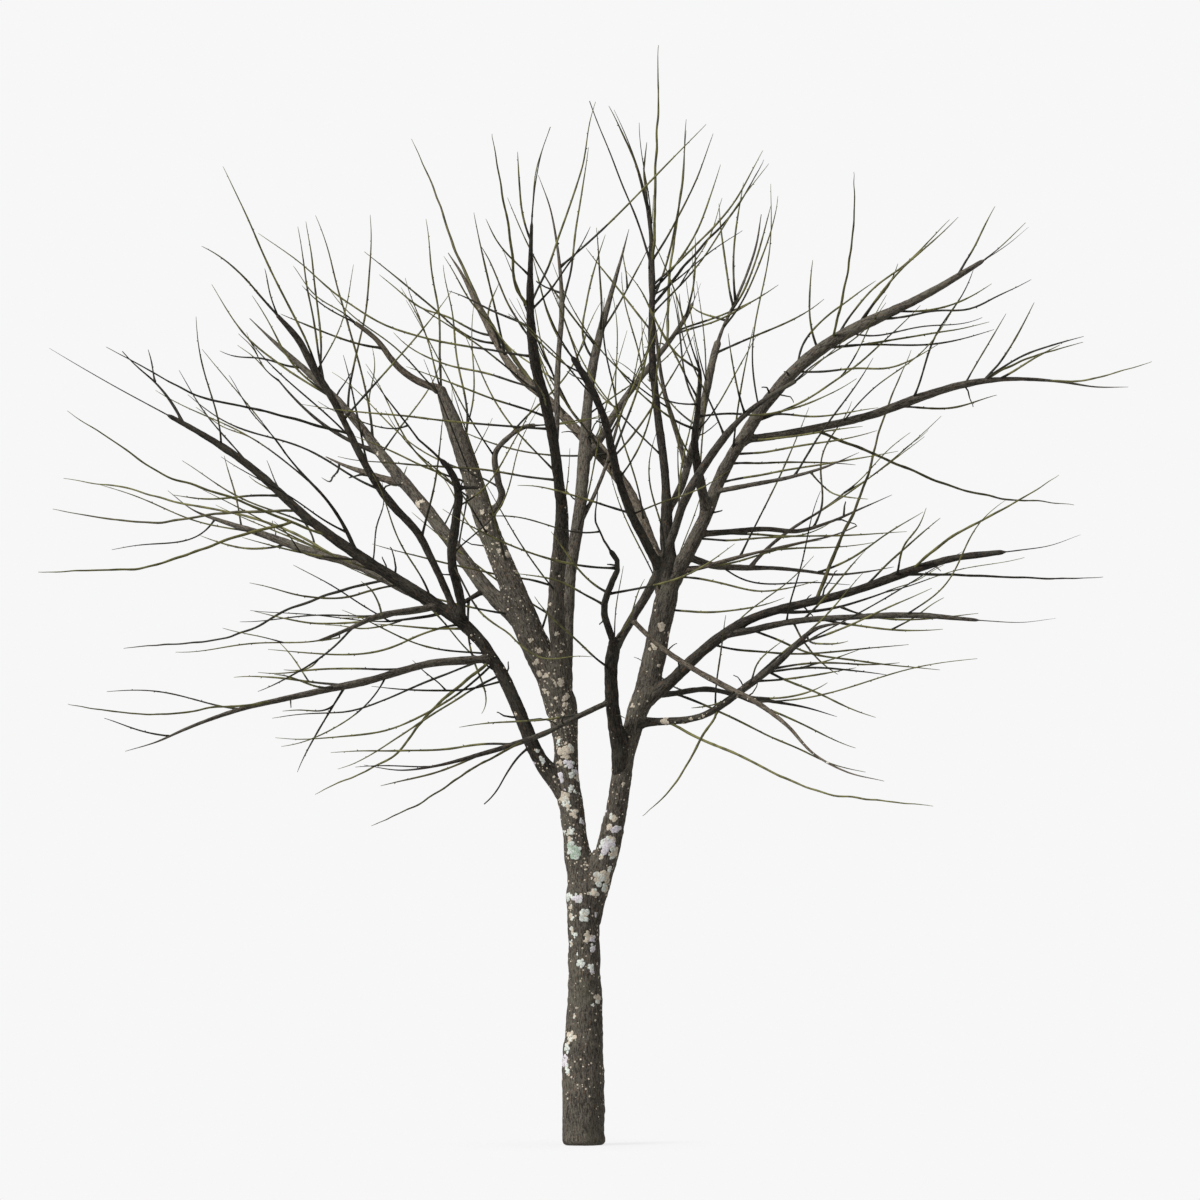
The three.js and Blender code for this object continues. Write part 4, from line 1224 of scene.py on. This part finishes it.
# %% Buds along the shoots
BUD_SPACING = 0.085
FIRST_BUD, BUDDED, LAST_BUD = 0.24, 0.75, 0.985       # shares of the shoot: first bud, run of buds, last
BUD_PROFILE = np.array([0.55, 1.0, 0.80, 0.25])       # radius, in bud radii, at four even rings
BUD_LENGTH, BUD_RADIUS, BUD_SIDES = 0.0095, 0.0027, 5
FULL_BUD_AT, SMALLEST_BUD = 0.004, 0.5                # shoot radius that carries full buds, and least share
BUD_SEAT = 0.0012                                     # how deep a bud's foot is in the shoot
GOLDEN = np.pi * (3 - np.sqrt(5))
heading, side, back = carried_frames(paths)
budded_length = BUDDED * length
bud_of = np.repeat(np.arange(len(paths)), np.maximum(1, (budded_length / BUD_SPACING).astype(int)))
count = len(bud_of)
bud_number = np.arange(count) - np.searchsorted(bud_of, bud_of)
place = bud_number + rng.uniform(0.1, 0.9, count)
at = FIRST_BUD + BUDDED * place * BUD_SPACING / budded_length[bud_of]
at = np.clip(at, 0, LAST_BUD) * (SHOOT_STEPS - 1)
low = at.astype(int)
part = (at - low)[:, None]
middle = paths[bud_of, low] * (1 - part) + paths[bud_of, low + 1] * part
turn = (bud_number * GOLDEN)[:, None]
bud_out = np.cos(turn) * side[bud_of, low] + np.sin(turn) * back[bud_of, low]
bud_heading = unit(0.8 * heading[bud_of, low] + bud_out * 0.6)
radius = thickness[bud_of, low][:, None]
size = rng.uniform(0.8, 1.25, (count, 1)) * np.clip(radius / FULL_BUD_AT, SMALLEST_BUD, 1)
foot = middle + bud_out * (radius - BUD_SEAT)
rings = np.linspace(0, 1, len(BUD_PROFILE))
bud_paths = foot[:, None] + bud_heading[:, None] * (rings * size * BUD_LENGTH)[..., None]
piece = Piece()
piece.add_tubes(bud_paths, size * BUD_RADIUS * BUD_PROFILE, BUD_SIDES)
piece.make("buds", young["brown"], "young_bark")
print("buds:", count, "of", piece.triangles(), "triangles")

# %% [markdown]
# ## Lichen
# Crusts of lichen grow on the bark of the trunk and stems in clusters of lobed discs, cream, mint white,
# lilac white and green, with a dusting of small cream specks round them. Each disc is a low closed dome
# laid over the bark. Its corners are looked up on the skin of the limb that was made above, so it
# follows every furrow under it, and its edge goes just into the bark.

# %% Places on the skin of a limb
DOME_TURNS = 0.75      # share of a dome's depth past which it turns inwards


def on_skin(name, at, angle):
    """Points on a limb's skin at distances along it and angles round it, blended from the four nearest
    corners of its grid, and the direction away from the axis there."""
    corner, limb = skins[name], limbs[name]
    rows, columns = corner.shape[:2]
    i = np.interp(at, skin_stations(limb, rows - DOME_RINGS)[0], np.arange(rows))
    i = np.clip(i, 0, rows - 1.001)
    k = (angle / (2 * np.pi) * columns) % columns
    i0, k0 = i.astype(int), k.astype(int)
    u, v = (i - i0)[..., None], (k - k0)[..., None]
    k1 = (k0 + 1) % columns
    point = ((1 - u) * ((1 - v) * corner[i0, k0] + v * corner[i0, k1])
             + u * ((1 - v) * corner[i0 + 1, k0] + v * corner[i0 + 1, k1]))
    return point, unit(point - limb.point(at.ravel()).reshape(point.shape))


def angle_towards(name, at, east):
    """The angle round a limb at which its skin is `east` of the axis, in shares of the radius, on the
    side that faces the viewer (negative y)."""
    wanted = np.array([east, -np.sqrt(max(0.0, 1 - east * east)), 0.0])
    angles = np.linspace(0, 2 * np.pi, 180, endpoint=False)
    _, out = on_skin(name, np.full(len(angles), at), angles)
    return angles[np.argmax(out @ wanted)]


def bare_run(limb):
    """Length of a limb up to where the dome at its end turns inwards."""
    return limb.length - DOME_TURNS * dome_depth(limb)


# %% Discs laid on the skin
DISC_RINGS = np.array([0.40, 0.78, 0.96, 1.06])       # share of the disc's radius at each ring
DISC_HEIGHTS = np.array([0.0022, 0.0026, 0.0018, -0.0012])
DISC_TOP, DISC_BOTTOM = 0.0024, 0.004                 # the poles: above the bark and below it
FULL_HEIGHT_AT, LOWEST = 0.012, 0.35                  # smaller discs are lower, down to this share
LOBES = ((0.20, (1.6, 1.6, 1.0), 21), (0.14, (4, 4, 1.0), 22))    # amount, how many there are, seed
SEED_SPREAD = 7.3
LOWEST_SPOT = 0.004


def add_discs(piece, name, at, angle, radius, spokes, seeds):
    """Low domes round places on a limb's skin. A corner is at along + R cos(a), angle + R sin(a) / r,
    raised by its ring's height, and the lobes are R = radius * (1 + amount * noise(cos a, sin a))."""
    girth = limbs[name].thickness(at)[:, None, None]
    a = np.linspace(0, 2 * np.pi, spokes, endpoint=False)
    rim = np.stack(np.broadcast_arrays(np.cos(a), np.sin(a), seeds[:, None] * SEED_SPREAD), axis=-1)
    lobe = sum((amount * noise(rim * np.array(spread), seed) for amount, spread, seed in LOBES), 1)
    reach = radius[:, None, None] * lobe[:, None, :] * DISC_RINGS[None, :, None]
    along = at[:, None, None] + reach * np.cos(a)
    round_it = angle[:, None, None] + reach * np.sin(a) / girth
    point, out = on_skin(name, np.clip(along, LOWEST_SPOT, None), round_it)
    thick = np.clip(radius / FULL_HEIGHT_AT, LOWEST, 1)[:, None, None]
    ring = point + out * (DISC_HEIGHTS[None, :, None] * thick)[..., None]
    centre, centre_out = on_skin(name, at, angle)
    top, bottom = centre + centre_out * DISC_TOP * thick[:, 0], centre - centre_out * DISC_BOTTOM
    quads, fans = tube_faces(len(at), len(DISC_RINGS), spokes)
    piece.add(np.concatenate([ring.reshape(-1, 3), top, bottom]), quads, fans)


# %% Lichen finishes
LICHEN_TONES = {"cream": (0.74, 0.65, 0.52), "mint": (0.86, 0.91, 0.83), "lilac": (0.86, 0.81, 0.85),
                "green": (0.54, 0.67, 0.54)}


def lichen_finish(name, colour):
    """Chalky crust with darker crumbs and small orange fruiting dots."""
    finish = Finish("lichen_" + name)
    place = finish.object_place()
    crumb = finish.mottle(place, 260.0, 3.0, 0.6)
    cloud = finish.mottle(place, 85.0, 2.0, 0.5)
    dots = finish.mottle(place, 110.0, 1.0, 0.5)
    dark = tuple(0.56 * channel for channel in colour)
    tone = finish.mixed((0.5 * crumb + 0.5 * cloud).above(0.38, 0.54), dark, colour)
    tone = finish.mixed(0.5 * dots.above(0.66, 0.72), tone, (0.42, 0.24, 0.12))
    return finish.surface(tone, 0.9, finish.bump(crumb, 0.003), 0.15)


lichen = {name: lichen_finish(name, colour) for name, colour in LICHEN_TONES.items()}

# %% Where colonies are
# limb, then for each: height above ground, share of the radius east of its axis, size in metres, kind
COLONIES = (
    ("left_stem", (2.56, 0.00, 0.052, "cream"), (2.47, 0.20, 0.030, "lilac"), (2.40, 0.40, 0.026, "mint"),
     (2.37, -0.60, 0.036, "lilac"), (2.31, 0.20, 0.024, "mint"), (2.27, -0.35, 0.034, "cream"),
     (2.20, -0.30, 0.026, "mint"), (2.16, 0.25, 0.022, "cream"), (2.03, -0.30, 0.030, "mint"),
     (1.92, -0.10, 0.050, "green"), (2.62, -0.55, 0.020, "mint"), (2.86, 0.15, 0.020, "cream")),
    ("right_stem", (2.13, -0.10, 0.028, "cream"), (2.06, -0.25, 0.028, "cream"),
     (1.95, -0.20, 0.050, "lilac"), (1.90, 0.45, 0.024, "mint"), (1.74, 0.10, 0.050, "cream"),
     (2.35, 0.20, 0.016, "cream"), (1.64, -0.10, 0.030, "cream")),
    ("left_stem", (1.68, -0.30, 0.028, "mint"), (1.62, -0.25, 0.036, "lilac"),
     (1.64, -0.85, 0.036, "mint")),
    ("trunk", (1.64, 0.05, 0.026, "cream"), (1.65, 0.50, 0.030, "cream"), (1.68, -0.35, 0.028, "mint"),
     (1.61, -0.30, 0.034, "lilac"), (1.63, -0.85, 0.036, "mint"), (1.55, -0.75, 0.022, "cream"),
     (1.50, 0.12, 0.036, "mint"), (1.49, -0.75, 0.026, "cream"), (1.40, -0.70, 0.022, "mint"),
     (1.36, 0.30, 0.028, "cream"), (1.33, 0.20, 0.024, "cream"), (1.13, 0.45, 0.020, "lilac"),
     (0.96, 0.80, 0.032, "cream"), (0.84, -0.55, 0.014, "mint"), (0.70, -0.70, 0.038, "cream"),
     (0.63, -0.85, 0.030, "mint"), (0.54, -0.90, 0.040, "lilac"), (0.48, -0.75, 0.026, "mint")),
    ("west_bough", (2.99, 0.30, 0.028, "cream")),
    ("centre_front_bough", (3.01, -0.10, 0.026, "cream"), (2.91, 0.40, 0.024, "cream")),
    ("west_bough", (3.05, -0.30, 0.022, "cream")),
    ("left_stem", (2.79, 0.00, 0.020, "cream"), (2.77, -0.60, 0.018, "cream")),
    ("west_bough", (2.95, -0.50, 0.018, "cream"), (2.90, -0.10, 0.016, "cream"),
     (3.08, -0.70, 0.026, "cream"), (3.15, -0.55, 0.024, "cream"), (3.20, 0.10, 0.018, "cream"),
     (3.27, -0.20, 0.016, "cream")),
    ("centre_front_bough", (3.34, -0.10, 0.018, "cream"), (3.22, 0.30, 0.014, "cream")),
    ("east_stem", (3.24, -0.20, 0.026, "cream"), (3.36, 0.20, 0.030, "cream"),
     (3.12, 0.50, 0.014, "cream")),
    ("trunk", (1.15, 0.45, 0.026, "mint")),
    ("west_rear_bough", (4.17, 0.20, 0.020, "cream"), (3.88, 0.10, 0.020, "cream")),
    ("west_bough", (4.10, 0.00, 0.020, "cream"), (4.00, -0.30, 0.024, "cream"),
     (3.84, 0.20, 0.020, "cream")),
    ("low_crossing_east", (3.55, 0.00, 0.018, "cream")),
    ("right_stem", (2.00, 0.25, 0.026, "cream"), (1.87, -0.30, 0.020, "mint"),
     (1.92, 0.70, 0.030, "cream"), (1.80, 0.60, 0.024, "cream"), (1.68, 0.55, 0.032, "cream")),
    ("left_stem", (2.26, -0.75, 0.030, "cream")),
    ("low_west_bough", (2.56, 0.30, 0.020, "cream"), (2.50, 0.30, 0.024, "lilac")),
    ("low_east_arch", (2.775, -0.10, 0.016, "cream"), (2.80, 0.30, 0.014, "cream")),
    ("left_stem", (2.93, 0.35, 0.018, "cream"), (2.97, -0.30, 0.016, "cream"),
     (2.48, -0.50, 0.022, "cream"), (2.42, 0.80, 0.024, "lilac")),
)
# stray ones: how many, from which share of the limb's length, to which
AROUND = (
    ("trunk", 15, 0.45, 1.0), ("left_stem", 36, 0.05, 0.98), ("right_stem", 14, 0.05, 0.7),
    ("west_bough", 16, 0.02, 0.6), ("east_stem", 8, 0.05, 0.9), ("rear_crossing_bough", 5, 0.05, 0.7),
    ("low_east_arch", 3, 0.05, 0.30), ("low_west_bough", 4, 0.02, 0.2), ("west_rear_bough", 4, 0.05, 0.6),
    ("centre_front_bough", 4, 0.05, 0.2), ("low_crossing_east", 2, 0.1, 0.8),
)
STRAY_SIZES = (0.008, 0.030)
ONLY_CREAM_ABOVE = 2.65     # height above which they are all of the cream kind
KINDS = list(LICHEN_TONES)

patches = []      # limb, distance along, angle, size, kind
for name, *rows in COLONIES:
    for height, east, size, kind in rows:
        stations = np.arange(0.02, limbs[name].length, 0.01)
        at = stations[np.argmin(np.abs(limbs[name].point(stations)[:, 2] - height))]
        patches.append((name, at, angle_towards(name, at, east), size, kind))
for name, count, first, last in AROUND:
    for _ in range(count):
        at = rng.uniform(first, last) * limbs[name].length
        kind = rng.choice(KINDS[:3]) if limbs[name].point(at)[0, 2] < ONLY_CREAM_ABOVE else "cream"
        patches.append((name, at, rng.uniform(0, 2 * np.pi), rng.uniform(*STRAY_SIZES), kind))
print("lichen colonies:", len(patches))

# %% Discs of the colonies
DISC_SPOKES = 16
DISC_FOR, FEWEST_DISCS, MOST_DISCS = 0.0026, 4, 18      # a disc for each so much of a colony's size
MIDDLE_DISC, OTHER_DISCS, SMALLEST_DISC = 0.60, (0.18, 0.48), 0.004
OTHER_KIND, OTHER_SHARE = {"cream": "mint", "mint": "cream", "lilac": "mint", "green": "mint"}, 0.22
LOWEST_DISC = 0.03
lichen_pieces = {kind: Piece() for kind in KINDS}
for name, at, angle, size, kind in patches:
    count = int(np.clip(size / DISC_FOR, FEWEST_DISCS, MOST_DISCS))
    away = np.concatenate([[0.0], rng.uniform(0.35, 1.00, count - 1)]) * size
    turned = rng.uniform(0, 2 * np.pi, count)
    disc = np.concatenate([[MIDDLE_DISC], rng.uniform(*OTHER_DISCS, count - 1)]) * size
    disc = np.maximum(disc, SMALLEST_DISC)
    spot = at + away * np.cos(turned)
    round_it = angle + away * np.sin(turned) / limbs[name].thickness(at)
    low_enough = limbs[name].point(at)[0, 2] < ONLY_CREAM_ABOVE
    stray = (rng.uniform(0, 1, count) < OTHER_SHARE) & low_enough
    seeds = rng.uniform(0, 99, count)
    on_bark = (spot > LOWEST_DISC) & (spot < bare_run(limbs[name]))
    for chosen, own in ((~stray & on_bark, kind), (stray & on_bark, OTHER_KIND[kind])):
        add_discs(lichen_pieces[own], name, *(each[chosen] for each in (spot, round_it, disc)),
                  DISC_SPOKES, seeds[chosen])

# %% Specks
# limb, how many, from which share of its bare run, to which
SPECKS = (
    ("trunk", 330, 0.1, 1), ("left_stem", 500, 0.02, 1), ("right_stem", 190, 0.02, 1),
    ("west_bough", 430, 0, 0.75), ("east_stem", 110, 0.05, 1), ("rear_crossing_bough", 90, 0, 0.9),
    ("low_east_arch", 26, 0.02, 0.5), ("west_rear_bough", 60, 0, 0.7), ("low_west_bough", 60, 0, 0.3),
    ("east_bough", 30, 0, 0.5), ("centre_front_bough", 90, 0, 0.35), ("low_crossing_east", 14, 0, 0.9),
    ("front_stem", 16, 0, 0.6), ("left_stem", 130, 0.78, 1), ("west_bough", 70, 0, 0.16),
    ("centre_front_bough", 36, 0.03, 0.12), ("low_west_bough", 24, 0.02, 0.08),
)
SPECK_SPOKES, SPECK_RADII = 6, (0.0024, 0.0092)
lichen_pieces["specks"] = Piece()
for name, count, first, last in SPECKS:
    at = np.clip(rng.uniform(first, last, count) * bare_run(limbs[name]), LOWEST_DISC, None)
    size = rng.uniform(*SPECK_RADII, count) * rng.uniform(0.6, 1.0, count)
    angle, seeds = rng.uniform(0, 2 * np.pi, count), rng.uniform(0, 99, count)
    add_discs(lichen_pieces["specks"], name, at, angle, size, SPECK_SPOKES, seeds)
for kind, piece in lichen_pieces.items():
    piece.make("lichen_" + kind, lichen.get(kind, lichen["cream"]), "lichen")
    print("lichen", kind, piece.triangles(), "triangles")

# %% [markdown]
# ## Stage, light and camera
# A pale sky that lights the tree less brightly than the camera sees it, a soft sun from the front left,
# and a long lens far away, level with the middle of the tree, so that the trunk and the top are seen
# almost without perspective. The floor is so faint that it only takes a contact shadow at the foot.

# %% Sky and sun
SKY_LEVEL, SKY_LIGHT = 0.93, 0.38  # as the camera sees it, and as it lights the tree
SUN_PATH = (0.72, 0.48, -0.80)     # the way its light travels: from the left, the front and above
SUN_STRENGTH, SUN_WIDTH = 3.1, 15  # and how many degrees wide it is, for soft shadows

scene = bpy.context.scene
scene.view_settings.view_transform = "Standard"
studio = Finish("studio", "worlds")
ray = studio.node("LightPath")     # its first output says whether it is the camera that looks
seen = studio.node("Background", inputs={"Color": (SKY_LEVEL, SKY_LEVEL, SKY_LEVEL, 1)})
light = studio.node("Background", inputs={"Color": (SKY_LIGHT, SKY_LIGHT, SKY_LIGHT, 1)})
sky = studio.node("MixShader", inputs={0: ray, 1: light, 2: seen})
studio.node("OutputWorld", inputs={"Surface": sky})
scene.world = studio.owner

sun = bpy.data.objects.new("sun", bpy.data.lights.new("sun", "SUN"))
sun.data.energy = SUN_STRENGTH
sun.data.angle = np.radians(SUN_WIDTH)
sun.rotation_euler = Vector(SUN_PATH).to_track_quat("-Z", "Y").to_euler()
scene.collection.objects.link(sun)

# %% Camera
VIEW_WIDTH, AIM = 7.8, (0.11, 0.0, 3.542)     # metres seen from side to side, round this point
LENS, SENSOR, FAR = 350.0, 36.0, 200.0
camera = bpy.data.objects.new("camera", bpy.data.cameras.new("camera"))
camera.data.lens, camera.data.sensor_width = LENS, SENSOR
camera.data.clip_end = FAR
camera.location = Vector(AIM) - Vector((0, VIEW_WIDTH * LENS / SENSOR, 0))
camera.rotation_euler = (np.pi / 2, 0, 0)
scene.collection.objects.link(camera)
scene.camera = camera
print("camera at", [round(v, 2) for v in camera.location])

# %% Floor
FLOOR_COVER, FLOOR_FADE = 0.16, (0.15, 1.1)     # how much of it shows at the foot, and where it fades out
FLOOR_RADIUS, FLOOR_SIDES, FLOOR_DROP = 2, 64, 0.0005


def floor_finish():
    """Pale floor that fades out with the distance from the trunk."""
    finish = Finish("floor")
    place = finish.object_place()
    away = finish.node("VectorMath", {"operation": "LENGTH"}, {0: place}, output=1)
    cover = FLOOR_COVER * (1 - away.above(*FLOOR_FADE))
    base = finish.node("BsdfDiffuse", inputs={"Color": (0.80, 0.80, 0.80, 1)})
    clear = finish.node("BsdfTransparent")
    mix = finish.node("MixShader", inputs={0: cover, 1: clear, 2: base})
    finish.node("OutputMaterial", inputs={"Surface": mix})
    return finish.owner


around = np.linspace(0, 2 * np.pi, FLOOR_SIDES, endpoint=False)
corners = [FLOOR_RADIUS * np.cos(around), FLOOR_RADIUS * np.sin(around), 0 * around - FLOOR_DROP]
floor_mesh = bpy.data.meshes.new("floor")
floor_mesh.from_pydata(np.stack(corners, axis=1), [], [list(range(FLOOR_SIDES))])
floor_mesh.materials.append(floor_finish())
floor = bpy.data.objects.new("floor", floor_mesh)
scene.collection.objects.link(floor)
